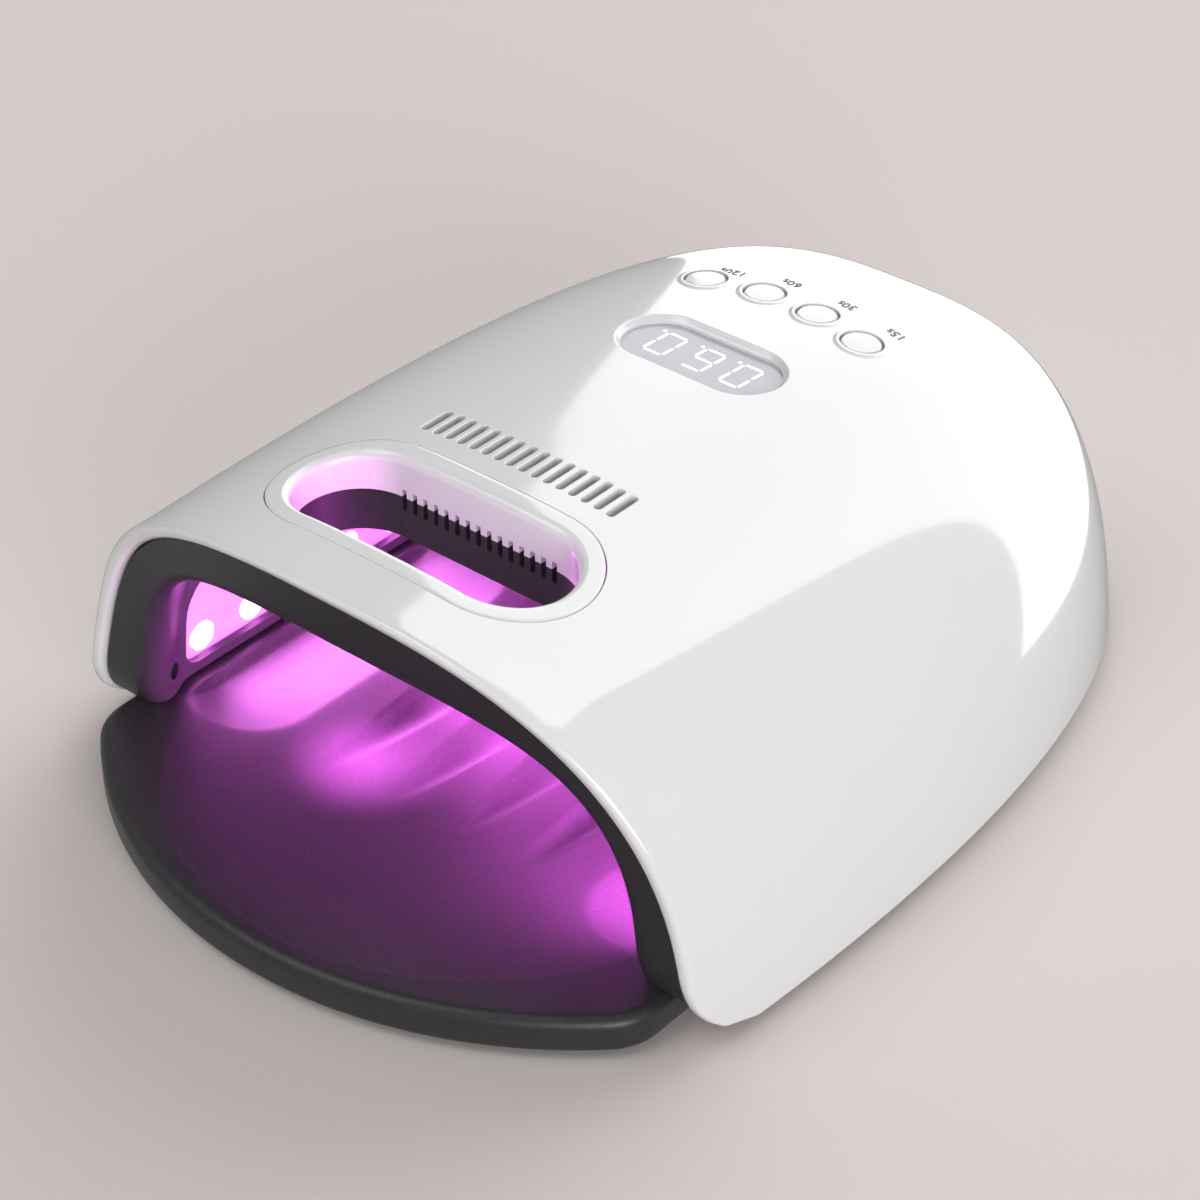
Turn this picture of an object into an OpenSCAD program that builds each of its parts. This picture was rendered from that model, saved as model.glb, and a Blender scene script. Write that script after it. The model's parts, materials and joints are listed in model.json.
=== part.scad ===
// Cordless LED nail lamp: a gloss moulded hood with a carrying slot, a dark hand
// chamber with LED strips behind windows in its walls, and a lift-off base plate.
// Millimetres. +Z is up, the mouth faces -Y, and the table is at z = 0.

/* [Hood] */
// Width of the hood at its front edge
hood_w = 210; // [200:1:220]
// Length of the hood from the front edge to the back
hood_l = 246; // [240:1:256]
// Height of the crown above the table
hood_h = 96; // [94:0.5:102]
// Wall thickness of the hood
wall = 3; // [2.4:0.1:3.4]
// Thickness of the front rim of the hood
rim_t = 4.4; // [3.8:0.1:5]
// Height of the bottom edge of the hood above the table
rim_z = 3; // [2.5:0.1:4]
// How far the crown leans out over the mouth
lip_overhang = 9.6; // [4:0.1:12]
// Radius of the lower front corners of the hood, seen from the side
corner_r = 20; // [12:0.5:22]

/* [Handle slot] */
// Distance from the front edge to the middle of the carrying slot
slot_y = 25.5; // [25:0.1:28]
// Distance between the centres of the two round ends of the slot
slot_span = 50; // [40:1:56]
// Radius of the round ends of the slot, inside the trim
slot_r = 16; // [14:0.1:16.5]
// Width of the trim ring on the top of the hood
trim_w = 6.2; // [5:0.1:6.5]
// Gap between the trim ring and the hood
trim_gap = 0.3; // [0.2:0.05:0.4]
// Depth below the top of the crown at which the white trim wall ends and the dark well begins
trim_depth = 12.5; // [11:0.1:14]
// Wall of the trim ring and of the dark well under it
slot_wall = 2; // [1.8:0.1:2.2]
// Number of breathing slots in the back wall of the well
well_slots = 15; // [9:2:15]
// Spacing of the breathing slots
well_pitch = 3.5; // [3:0.1:3.6]
// Height of a breathing slot
well_slot_h = 6; // [4:0.1:6.5]

/* [Vents] */
// Number of vent slots in the crown
vent_count = 16; // [8:2:18]
// Spacing of the vent slots
vent_pitch = 4; // [3.4:0.1:4.4]
// Width of one vent slot
vent_w = 2.2; // [1.6:0.1:2.6]
// Length of one vent slot
vent_len = 10.5; // [7:0.5:13]
// Distance from the front edge to the middle of the vents
vent_y = 60; // [58:0.5:64]

/* [Display] */
// Distance from the front edge to the middle of the display
display_y = 127.5; // [125:0.5:130]
// Distance between the centres of the round ends of the display opening
display_span = 26; // [22:1:30]
// Radius of the round ends of the display opening
display_r = 10.8; // [9.5:0.1:11.5]
// How far the walls of the display opening flare out toward the top
display_flare = 1.2; // [0.6:0.1:1.6]
// Depth of the display window below the crown
display_depth = 2.7; // [2.4:0.1:3]
// Thickness of the display window
window_t = 2; // [1.5:0.1:2.5]

/* [Buttons] */
// Diameter of a timer button
button_d = 11; // [9.5:0.1:12]
// Gap all round a button
button_gap = 0.3; // [0.2:0.05:0.4]
// Travel of a button
button_travel = 0.6; // [0.3:0.1:0.8]
// Spacing of the two middle buttons
button_inner = 17.6; // [17:0.1:19]
// Spacing of the two outer buttons
button_outer = 52; // [50:0.5:56]
// Distance from the front edge to the outer buttons
button_y = 162; // [160:0.5:164]
// How far the middle buttons lie behind the outer ones
button_arc = 3.6; // [1:0.1:5]

/* [Hand chamber] */
// Thickness of a leg, from the side of the hood to the hand chamber
leg_w = 19.5; // [19:0.5:22]
// Room for the boards between the chamber ceiling and the top of the crown
roof_room = 23.5; // [23:0.5:25]
// Room for the batteries between the back of the chamber and the back of the hood
back_room = 58; // [56:1:64]
// Wall thickness of the chamber liner
liner_t = 2.2; // [1.9:0.1:2.4]
// How far the liner sits behind the front edge of the hood
liner_recess = 4.5; // [3.5:0.1:5]
// Radius of the rounded edge of the mouth
mouth_r = 5; // [4:0.1:5.5]
// Gap between the liner and its neighbours
fit_gap = 0.3; // [0.2:0.05:0.4]

/* [LED strips] */
// Number of LEDs in each side strip
side_leds = 6; // [3:1:6]
// Spacing of the LEDs in a side strip
led_pitch = 18.5; // [16:0.1:18.8]
// Distance from the front edge to the first side LED
led_first_y = 27.3; // [27:0.1:29]
// Height of the side LEDs above the table
led_z = 20.3; // [20:0.1:22]
// Diameter of an LED lens
led_d = 8.4; // [6:0.1:8.8]
// Height of the side windows
window_h = 37; // [32:0.5:38]
// Radius of the upper front corner of a side window
window_r = 20; // [10:0.5:22]
// Number of ceiling LEDs across
top_leds = 4; // [2:1:4]
// Spacing of the ceiling LEDs across
top_pitch = 24; // [20:0.5:25]

/* [Base plate] */
// How far the tongue of the base plate reaches in front of the hood
tongue = 46; // [38:0.5:56]
// Radius of the blends beside the tongue's arc
blend_r = 16.5; // [15:0.5:18]
// Height of the top of the base plate above the table
plate_top = 12; // [11.5:0.1:12.5]
// How far the edge of the base plate reaches under the chamber wall
plate_lap = 6; // [5.5:0.1:6.5]
// Distance from the front edge of the hood to the back of the base plate
plate_back = 172; // [165:1:174]
// Depth of the dished hand rest
dish_depth = 3; // [2:0.1:3.2]
// Spacing of the four finger grooves
groove_pitch = 21; // [18:0.5:22]
// Depth of the finger grooves below the dish
groove_depth = 2; // [1:0.1:2.2]
// Depth of the two thumb rests below the dish
thumb_depth = 2.6; // [1:0.1:2.8]
// Height of the feet
foot_h = 2; // [1.5:0.1:2.2]
// Diameter of the holding magnets
magnet_d = 6; // [5:0.1:6.2]

/* [Power] */
// Length of a battery cell
cell_l = 65; // [60:0.5:66]
// Diameter of a battery cell
cell_d = 18.4; // [17.5:0.1:18.6]
// Bore of the charging socket
jack_bore = 6.2; // [5.5:0.1:6.4]
// Angle that the power rocker tips through
rocker_angle = 14; // [8:1:16]

/* [Hidden] */
$fn = 48;
eps = 0.01;

// Colours of the lamp
white = [0.93, 0.93, 0.93];
charcoal = [0.20, 0.20, 0.20];
silver = [0.85, 0.80, 0.86];
glow = [1.0, 0.85, 1.0];
board_green = [0.10, 0.35, 0.20];
steel = [0.72, 0.72, 0.74];
black = [0.05, 0.05, 0.05];
panel_grey = [0.82, 0.81, 0.85];
cell_blue = [0.20, 0.35, 0.60];

// The origin lies under the middle of the whole outline
mid_y = (hood_l - tongue) / 2;

// Rounded shells
// A surface is a row of sections across the lamp. Its values are the half width at
// the front, the crown height, the length, the widening of the plan, the powers and
// roots that round the plan and the side view, the two powers of a section, and the
// bow of its flat back patch.
sink_z = -31;
chamber_w = hood_w - 2 * leg_w;
chamber_h = hood_h - roof_room;
chamber_l = hood_l - back_room;
well_z = hood_h - trim_depth;
HOOD = [hood_w / 2, hood_h, hood_l, 0.20, 2, 3.15, 6, 4.25, 3.0, 2.6, 0];
CHAMBER = [chamber_w / 2, chamber_h, chamber_l, 0, 8, 5, 8, 4, 5, 4, 1];
// Height above which the front edge leans forward
lean_z = 30;
// Length over which the lean fades away
lean_l = 80;
// Steps of a section from the crown to the shoulder, and on down to the rim
crown_steps = 14;
foot_steps = 5;
shoulder = 70;
ring_points = 2 * (crown_steps + foot_steps);
hood_rings = 24;
chamber_rings = 13;
ring_crowd = 2.2;
// Height of the flat patch that closes the back of a rounded shell
back_patch = 18;

function along(s, y, in) = min(max(y / (s[2] - in), 0), 1);
function half_width(s, y, in) =
    let (t = along(s, y, in))
    (s[0] - in) * (1 + s[3] * t) * pow(1 - pow(t, s[4]), 1 / s[5]);
function crown_z(s, y, in) =
    let (t = along(s, y, in))
    sink_z + (s[1] - in - sink_z) * pow(1 - pow(t, s[6]), 1 / s[7]);
// Shift of the front edge at a height: forward at the crown, back round the corner
corner_z = rim_z + corner_r;
function edge_shift(z) = z > lean_z
    ? -lip_overhang * pow((z - lean_z) / (hood_h - lean_z), 2)
    : z < corner_z ? corner_r - sqrt(max(pow(corner_r, 2) - pow(corner_z - z, 2), 0)) : 0;
function shifted(y, z) = y + edge_shift(z) * pow(1 - min(max(y / lean_l, 0), 1), 2);
// Half width of a surface at a length and a height
function half_at(s, y, z, in) =
    let (h = crown_z(s, y, in), f = min((z - sink_z) / (h - sink_z), 1))
    half_width(s, y, in) * pow(1 - pow(f, s[9]), 1 / s[8]);
// Height of a surface over a point of the plan
function surface_z(s, x, y, in) =
    let (f = min(abs(x) / half_width(s, y, in), 1))
    sink_z + (crown_z(s, y, in) - sink_z) * pow(1 - pow(f, s[8]), 1 / s[9]);
// One point of a section: j runs from 0 at the left rim to the last at the right rim
function ring_point(s, y, j, in, z0) =
    let (
        h = crown_z(s, y, in),
        k = abs(j - ring_points / 2),
        side = j < ring_points / 2 ? -1 : 1,
        last = 90 - asin(pow((z0 - sink_z) / (h - sink_z), s[9] / 2)),
        turn = min(shoulder, 0.8 * last),
        b = k <= crown_steps ? turn * pow(k / crown_steps, s[8] / 2)
            : turn + (last - turn) * (k - crown_steps) / foot_steps,
        z = sink_z + (h - sink_z) * pow(cos(b), 2 / s[9]),
        y1 = shifted(y, z)
    )
    [side * half_width(s, y1, in) * pow(sin(b), 2 / s[8]), y1, z];
function ring(s, y, in, z0) = [for (j = [0 : ring_points]) ring_point(s, y, j, in, z0)];
function bowed(s, bow, row) = [for (p = row) [p[0], p[1] - bow * pow(p[0] / s[0], 2), p[2]]];
// Length at which the crown has come down to a height
function length_at(s, in, z) =
    (s[2] - in) * pow(1 - pow((z - sink_z) / (s[1] - in - sink_z), s[7]), 1 / s[6]);
function rings(s, y0, in, z0, count) =
    let (y1 = length_at(s, in, z0 + back_patch))
    [for (k = [1 : count])
        bowed(s, k < count ? 0 : s[10],
            ring(s, y0 + (y1 - y0) * (1 - pow(1 - k / count, ring_crowd)), in, z0))];
function mixed(a, b, part) = [for (j = [0 : ring_points]) a[j] * (1 - part) + b[j] * part];

// Middle of the flat patch inside the last ring, from which its triangles fan out
function cap_hub(row) = [0, row[0][1], (row[0][2] + row[ring_points / 2][2]) / 2];

// A hollow solid between two equal rows of rings, closed at the front, at the rims
// and at the back
module between(outer, inner) {
    n = len(outer) - 1;
    m = ring_points;
    w = m + 1;
    q = (n + 1) * w;
    last = n * w;
    function quad(a, b, c, d) = [[a, b, c], [a, c, d]];
    function flat(list) = [for (row = list) each row];
    skins = [for (i = [0 : n - 1], j = [0 : m - 1]) each concat(
        quad(i * w + j, i * w + j + 1, (i + 1) * w + j + 1, (i + 1) * w + j),
        quad(q + i * w + j, q + (i + 1) * w + j, q + (i + 1) * w + j + 1, q + i * w + j + 1))];
    front = [for (j = [0 : m - 1]) each quad(j, q + j, q + j + 1, j + 1)];
    rims = [for (i = [0 : n - 1]) each concat(
        quad((i + 1) * w, q + (i + 1) * w, q + i * w, i * w),
        quad((i + 1) * w + m, i * w + m, q + i * w + m, q + (i + 1) * w + m))];
    heel = quad(last, last + m, q + last + m, q + last);
    hub = 2 * q;
    backs = concat([[last + m, last, hub], [q + last, q + last + m, hub + 1]],
        [for (j = [0 : m - 1]) each [[last + j, last + j + 1, hub],
            [q + last + j + 1, q + last + j, hub + 1]]]);
    polyhedron(points = concat(flat(concat(outer, inner)), [cap_hub(outer[n]), cap_hub(inner[n])]),
        faces = [for (f = concat(skins, front, rims, heel, backs)) [f[0], f[2], f[1]]]);
}

// Small shapes shared by the parts
module slot(span, r) {
    for (side = [-1, 1]) translate([side * span / 2, 0]) circle(r);
    square([span, 2 * r], center = true);
}
module slot_block(span, r, z0, z1) translate([0, 0, z0]) linear_extrude(z1 - z0) slot(span, r);
module block(size, at) translate([at[0] - size[0] / 2, at[1] - size[1] / 2, at[2]]) cube(size);
module post(r, z0, z1) translate([0, 0, z0]) cylinder(h = z1 - z0, r = r);
// A flat shape in the plane of Y and Z, given a thickness along X from x0 to x1
module side_plate(x0, x1) translate([x0, 0, 0]) rotate([90, 0, 90]) linear_extrude(x1 - x0)
    children();
module both_sides() {
    children();
    mirror([1, 0, 0]) children();
}
// Everything is drawn from the front edge of the hood, then put on the origin
module placed() translate([0, -mid_y, 0]) children();

// Places on the crown
display_z = crown_z(HOOD, display_y, 0) - display_depth;
button_places = [
    [-button_outer / 2, button_y], [-button_inner / 2, button_y + button_arc],
    [button_inner / 2, button_y + button_arc], [button_outer / 2, button_y]
];
function slope_x(p) = (surface_z(HOOD, p[0] + 1, p[1], 0) - surface_z(HOOD, p[0] - 1, p[1], 0)) / 2;
function slope_y(p) = (surface_z(HOOD, p[0], p[1] + 1, 0) - surface_z(HOOD, p[0], p[1] - 1, 0)) / 2;
module on_crown(p) {
    tip_y = -atan(slope_x(p));
    tip_x = asin(slope_y(p) / sqrt(1 + pow(slope_x(p), 2) + pow(slope_y(p), 2)));
    translate([p[0], p[1], surface_z(HOOD, p[0], p[1], 0)]) rotate([0, tip_y, 0]) rotate([tip_x, 0, 0])
        children();
}
// Lowest height of the outer surface over a post, less a skin
post_skin = 0.9;
function post_top(x, y, r) =
    min([for (a = [0 : 30 : 330]) surface_z(HOOD, x + r * cos(a), y + r * sin(a), 0)]) - post_skin;

// Buttons
button_seat = 2;
flange_t = 1.2;
flange_w = 1.1;
stem_r = 2;
board_t = 1.6;
control_z = hood_h - 18;
switch_h = 3.5;
plunger_h = 1.2;
stem_tip_z = control_z + board_t + switch_h + plunger_h + button_travel + 0.5;
function up_part(p) = 1 / sqrt(1 + pow(slope_x(p), 2) + pow(slope_y(p), 2));
function stem_l(p) = (surface_z(HOOD, p[0], p[1], 0) - stem_tip_z) / up_part(p);
function stem_end(p) = [p[0] + slope_x(p) * up_part(p) * stem_l(p),
    p[1] + slope_y(p) * up_part(p) * stem_l(p)];

// Control board
control_size = [84, 68];
control_y = 147.5;
control_posts = [[35, 120], [35, 176]];
control_post_r = 3.2;
screw_r = 1.1;
screw_head_r = 2.1;
screw_head_h = 1.4;
screw_bite = 6;

// Posts of the bottom cover: two by each leg, and two behind the batteries
cover_z = foot_h;
floor_t = 2.2;
cover_post_r = 3.6;
side_post_z = 26;
function side_post_x(y) = half_at(HOOD, y, side_post_z, wall) - 1.4;
side_posts = [[side_post_x(40), 40], [side_post_x(95), 95]];
back_post = [38, 224];
cover_screw_r = 1.4;
cover_head_r = 2.6;
cover_bite = 14;

// Back panel of the hood
panel_z = rim_z + back_patch / 2 + 0.2;
panel_w = 40;
panel_h = 12.6;
panel_flange = 2.6;
panel_t = 2;
panel_set = 0.8;
patch_y = length_at(HOOD, 0, rim_z + back_patch);
patch_in_y = length_at(HOOD, wall, rim_z + back_patch);
// The panel's flange stands clear of the rounded corners of the hood's inner face
panel_in_y = patch_in_y - panel_set;

// Hood
edge_r = 1.8;
edge_turns = [0, 30, 60, 90];
rim_back = liner_recess - fit_gap;
hood_outer = concat(
    [for (a = edge_turns) ring(HOOD, edge_r * (1 - cos(a)), edge_r * (1 - sin(a)), rim_z)],
    [ring(HOOD, rim_back, 0, rim_z), ring(HOOD, rim_back + 1.5, 0, rim_z)],
    rings(HOOD, rim_back + 1.5, 0, rim_z, hood_rings));
hood_inner = concat(
    [for (a = edge_turns) ring(HOOD, edge_r * (1 - cos(a)), rim_t - edge_r * (1 - sin(a)), rim_z)],
    [ring(HOOD, rim_back, rim_t, rim_z), ring(HOOD, rim_back, wall, rim_z)],
    rings(HOOD, rim_back + 1.5, wall, rim_z, hood_rings));
module vents() {
    for (i = [0 : vent_count - 1])
        translate([(i - (vent_count - 1) / 2) * vent_pitch, vent_y, 0])
            rotate([0, 0, 90]) slot_block(vent_len - vent_w, vent_w / 2, chamber_h, hood_h + 1);
}
module display_opening() {
    low = display_z - eps;
    high = hood_h + 1;
    r1 = display_r + display_flare * (high - low) / display_depth;
    translate([0, display_y, 0]) {
        for (side = [-1, 1]) translate([side * display_span / 2, 0, low])
            cylinder(h = high - low, r1 = display_r, r2 = r1);
        translate([-display_span / 2, 0, 0]) rotate([90, 0, 90]) linear_extrude(display_span)
            polygon([[-display_r, low], [display_r, low], [r1, high], [-r1, high]]);
        slot_block(display_span, display_r + 2.5, chamber_h, display_z);
    }
}
module top_shell() {
    color(white) difference() {
        union() {
            between(hood_outer, hood_inner);
            both_sides() {
                for (p = control_posts) translate([p[0], p[1], 0])
                    post(control_post_r, control_z + board_t, post_top(p[0], p[1], control_post_r));
                for (p = side_posts) translate([p[0], p[1], 0])
                    post(cover_post_r, cover_z + floor_t, side_post_z);
                translate([back_post[0], back_post[1], 0]) post(cover_post_r, cover_z + floor_t,
                    post_top(back_post[0], back_post[1], cover_post_r));
            }
        }
        translate([0, slot_y, 0])
            slot_block(slot_span, slot_r + trim_w + trim_gap, chamber_h, hood_h + 1);
        vents();
        display_opening();
        for (p = button_places) on_crown(p) {
            post(button_d / 2 + button_gap, -button_seat - 1, 3);
            post(button_d / 2 + button_gap + flange_w, -button_seat - 6, -button_seat);
        }
        both_sides() {
            for (p = control_posts) translate([p[0], p[1], 0])
                post(screw_r, control_z, control_z + board_t + screw_bite + 1);
            for (p = concat(side_posts, [back_post])) translate([p[0], p[1], 0])
                post(cover_screw_r, cover_z, cover_z + floor_t + cover_bite);
        }
        block([panel_w, 3 * wall, panel_h], [0, patch_y - wall / 2, panel_z - panel_h / 2]);
    }
}

// Handle trim: a ring that follows the crown, with a wall down to the dark well
arc_steps = 16;
straight_steps = 6;
stations = concat(
    [for (k = [0 : arc_steps]) [slot_span / 2, -90 + 180 * k / arc_steps]],
    [for (k = [1 : straight_steps - 1]) [slot_span / 2 - slot_span * k / straight_steps, 90]],
    [for (k = [0 : arc_steps]) [-slot_span / 2, 90 + 180 * k / arc_steps]],
    [for (k = [1 : straight_steps - 1]) [-slot_span / 2 + slot_span * k / straight_steps, 270]]);
trim_plate = 2.4;
trim_fillet = 2.6;
trim_r = slot_r + trim_w;
// Radius, drop below the crown, and true where the height is the well height instead
trim_profile = [
    [trim_r, trim_plate, false], [trim_r, 0.4, false], [trim_r - 0.4, 0, false],
    [slot_r + trim_fillet, 0, false],
    [slot_r + trim_fillet * (1 - sin(30)), trim_fillet * (1 - cos(30)), false],
    [slot_r + trim_fillet * (1 - sin(60)), trim_fillet * (1 - cos(60)), false],
    [slot_r, trim_fillet, false], [slot_r, 0, true],
    [slot_r + slot_wall, 0, true], [slot_r + slot_wall, trim_plate, false]
];
function trim_point(station, p) =
    let (
        x = station[0] + p[0] * cos(station[1]),
        y = slot_y + p[0] * sin(station[1])
    )
    [x, y, p[2] ? well_z : surface_z(HOOD, x, y, 0) - p[1]];
module breathing_slots() {
    for (i = [0 : well_slots - 1])
        block([well_pitch * 0.45, 4 * slot_wall, well_slot_h],
            [(i - (well_slots - 1) / 2) * well_pitch, slot_y + slot_r + slot_wall / 2,
                well_z - 0.63 * well_slot_h]);
}
module handle_collar() {
    n = len(stations);
    m = len(trim_profile);
    color(white) difference() {
        polyhedron(
            points = [for (s = stations, p = trim_profile) trim_point(s, p)],
            faces = [for (i = [0 : n - 1], j = [0 : m - 1])
                let (a = i * m + j, b = i * m + (j + 1) % m,
                    c = (i + 1) % n * m + (j + 1) % m, d = (i + 1) % n * m + j)
                each [[a, b, c], [a, c, d]]]);
        breathing_slots();
    }
}
well_foot = 0.9;
module handle_well() {
    color(charcoal) difference() {
        translate([0, slot_y, 0]) {
            slot_block(slot_span, slot_r + slot_wall, chamber_h - well_foot, well_z);
            slot_block(slot_span, slot_r + slot_wall + 1.2, chamber_h + liner_t,
                chamber_h + liner_t + 1.5);
        }
        translate([0, slot_y, 0]) slot_block(slot_span, slot_r, chamber_h - 2, well_z + 1);
        breathing_slots();
    }
}

// Outline of the base plate, drawn in by an amount
plate_hw = chamber_w / 2 + plate_lap;
// The tongue's arc meets each blend along the long side of a 20, 21, 29 triangle, so
// that their centres and the line between them stay round numbers
blend_x = plate_hw - blend_r;
tongue_r = blend_r + blend_x * 29 / 20;
tongue_y = tongue_r - tongue;
blend_y = tongue_y - blend_x * 21 / 20;
rear_r = 40;
rear_x = plate_hw - rear_r;
rear_y = plate_back - rear_r;
// The sector of the tongue's circle, out to the lines through the blends' centres,
// and the sector of a blend from there to the straight side
module tongue_sector() polygon([[0, tongue_y],
    [-2 * blend_x, 2 * blend_y - tongue_y], [2 * blend_x, 2 * blend_y - tongue_y]]);
module blend_sector() polygon([[blend_x, blend_y],
    [2 * blend_x, 2 * blend_y - tongue_y], [2 * blend_x, blend_y]]);
module plate_outline(in) {
    intersection() {
        translate([0, tongue_y]) circle(tongue_r - in, $fn = 180);
        tongue_sector();
    }
    for (side = [-1, 1]) {
        translate([side * blend_x, blend_y]) circle(blend_r - in);
        translate([side * rear_x, rear_y]) circle(rear_r - in, $fn = 96);
    }
    translate([in - plate_hw, blend_y - eps]) square([2 * (plate_hw - in), rear_y - blend_y + eps]);
    translate([-rear_x, rear_y - eps]) square([2 * rear_x, rear_r - in + eps]);
}

// Hand chamber liner
liner_z = plate_top + 0.4;
lip_skin = mouth_r - liner_t;
lip_y = liner_recess + mouth_r;
flange_edge = ring(HOOD, liner_recess, wall + fit_gap, liner_z);
lip_edge = ring(CHAMBER, liner_recess, -mouth_r, liner_z);
liner_inner = concat(
    [mixed(flange_edge, lip_edge, 1 / 3), mixed(flange_edge, lip_edge, 2 / 3)],
    [for (a = edge_turns)
        ring(CHAMBER, lip_y - mouth_r * cos(a), mouth_r * (sin(a) - 1), liner_z)],
    rings(CHAMBER, lip_y, 0, liner_z, chamber_rings));
liner_outer = concat(
    [flange_edge, ring(HOOD, liner_recess + liner_t, wall + fit_gap, liner_z)],
    [for (a = edge_turns)
        ring(CHAMBER, lip_y - lip_skin * cos(a), lip_skin * sin(a) - mouth_r, liner_z)],
    rings(CHAMBER, lip_y, -liner_t, liner_z, chamber_rings));
// Side windows
window_y = led_first_y - led_d - 0.3;
window_z = liner_z + 3;
window_l = (side_leds - 1) * led_pitch + 2 * led_d + 1;
window_corner = 5;
module window_shape(grow) {
    l = window_l + 2 * grow;
    h = window_h + 2 * grow;
    corners = [[0, 0, window_corner], [l, 0, window_corner], [l, h, window_corner],
        [0, h, window_r]];
    translate([window_y - grow, window_z - grow]) {
        difference() {
            square([l, h]);
            for (c = corners) translate([c[0] > 0 ? l - c[2] : -1, c[1] > 0 ? h - c[2] : -1])
                square(c[2] + 1);
        }
        for (c = corners)
            translate([c[0] > 0 ? l - c[2] : c[2], c[1] > 0 ? h - c[2] : c[2]]) circle(c[2]);
    }
}
// Ceiling window
top_rows = [68, 92];
top_window = [top_leds * top_pitch - 4, top_rows[1] - top_rows[0] + 22];
top_mid_y = (top_rows[0] + top_rows[1]) / 2;
top_seat_z = chamber_h + liner_t;
module rounded_rect(size, r) {
    square([size[0] - 2 * r, size[1]], center = true);
    square([size[0], size[1] - 2 * r], center = true);
    for (x = [-1, 1], y = [-1, 1])
        translate([x * (size[0] / 2 - r), y * (size[1] / 2 - r)]) circle(r);
}
// Sensor holes and magnets
ir_y = 12.8;
ir_z = 18.8;
ir_r = 2.2;
magnet_in = 4.2;
magnet_h = 2.5;
magnet_skin = 0.8;
magnet_places = [[plate_hw - magnet_in, 12],
    [rear_x + (rear_r - magnet_in) * cos(50), rear_y + (rear_r - magnet_in) * sin(50)]];
magnet_cup = 1.3;
// Side sheets: a fold at the LEDs, leaning in above it
sheet_t = 0.8;
fold_x = chamber_w / 2 + 2.1;
sheet_foot_x = fold_x - 0.2;
sheet_top_x = fold_x - 3.8;
sheet_top_z = window_z + window_h + 2.5;
seat_z = liner_z + liner_t;
led_board_x = fold_x + 2;
led_board_h = 13;
rib_w = 2;
clip_ys = [window_y + 20, window_y + window_l - 12];
flange_out = 9;
flange_rows = [0 : 12];
function flange_y(k) = shifted(liner_recess + 1, liner_z) + (chamber_l + liner_t
    - shifted(liner_recess + 1, liner_z)) * k / 12;
module liner_foot() {
    right = [for (k = flange_rows) [half_at(CHAMBER, flange_y(k), liner_z, -flange_out), flange_y(k)]];
    translate([0, 0, liner_z]) linear_extrude(liner_t) difference() {
        polygon(concat(right, [for (k = flange_rows) [-right[12 - k][0], right[12 - k][1]]]));
        plate_outline(plate_lap + 0.2);
    }
}
module inner_liner() {
    color(charcoal) difference() {
        union() {
            between(liner_outer, liner_inner);
            liner_foot();
            both_sides() {
                for (p = magnet_places) translate([p[0], p[1], 0])
                    post(magnet_d / 2 + magnet_cup, liner_z, liner_z + magnet_skin + magnet_h);
                for (y = clip_ys) {
                    block([rib_w, 8, led_board_h - 2], [led_board_x + board_t + rib_w / 2, y, seat_z - eps]);
                    block([9.4, 8, 2], [sheet_top_x - 3, y, sheet_top_z]);
                }
            }
        }
        translate([0, slot_y, 0]) slot_block(slot_span, slot_r + slot_wall + fit_gap,
            chamber_h - 8, chamber_h + 6);
        both_sides() {
            side_plate(chamber_w / 2 - 12, chamber_w / 2 + 1.9) window_shape(0);
            translate([chamber_w / 2 - 4, ir_y, ir_z]) rotate([0, 90, 0]) cylinder(h = 9, r = ir_r + 0.1);
            for (p = magnet_places) translate([p[0], p[1], 0])
                post(magnet_d / 2 + 0.05, liner_z + magnet_skin, liner_z + 8);
        }
        translate([0, top_mid_y, chamber_h - 6]) linear_extrude(12) rounded_rect(top_window, 8);
    }
}
module liner_magnets() color(steel) both_sides() for (p = magnet_places) translate([p[0], p[1], 0])
    post(magnet_d / 2, liner_z + magnet_skin, liner_z + magnet_skin + magnet_h);

// LED strips
function led_y(i) = led_first_y + i * led_pitch;
lens_proud = 1.6;
lens_dome = 1.4;
sheet_end = 2.6;
sheet_y0 = window_y - sheet_end;
sheet_y1 = window_y + window_l + sheet_end;
module side_sheet() {
    translate([0, sheet_y1, 0]) rotate([90, 0, 0]) linear_extrude(sheet_y1 - sheet_y0)
        polygon([[sheet_foot_x, seat_z], [sheet_foot_x + sheet_t, seat_z], [fold_x + sheet_t, led_z],
            [sheet_top_x + sheet_t, sheet_top_z], [sheet_top_x, sheet_top_z], [fold_x, led_z]]);
}
module reflector_side() {
    color(silver) difference() {
        side_sheet();
        for (i = [0 : side_leds - 1]) translate([fold_x - 3, led_y(i), led_z])
            rotate([0, 90, 0]) cylinder(h = 6, r = led_d / 2 + 0.25);
    }
}
module led_board_side() color(board_green)
    block([board_t, window_l + 2, led_board_h],
        [led_board_x + board_t / 2, window_y + window_l / 2, seat_z]);
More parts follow.
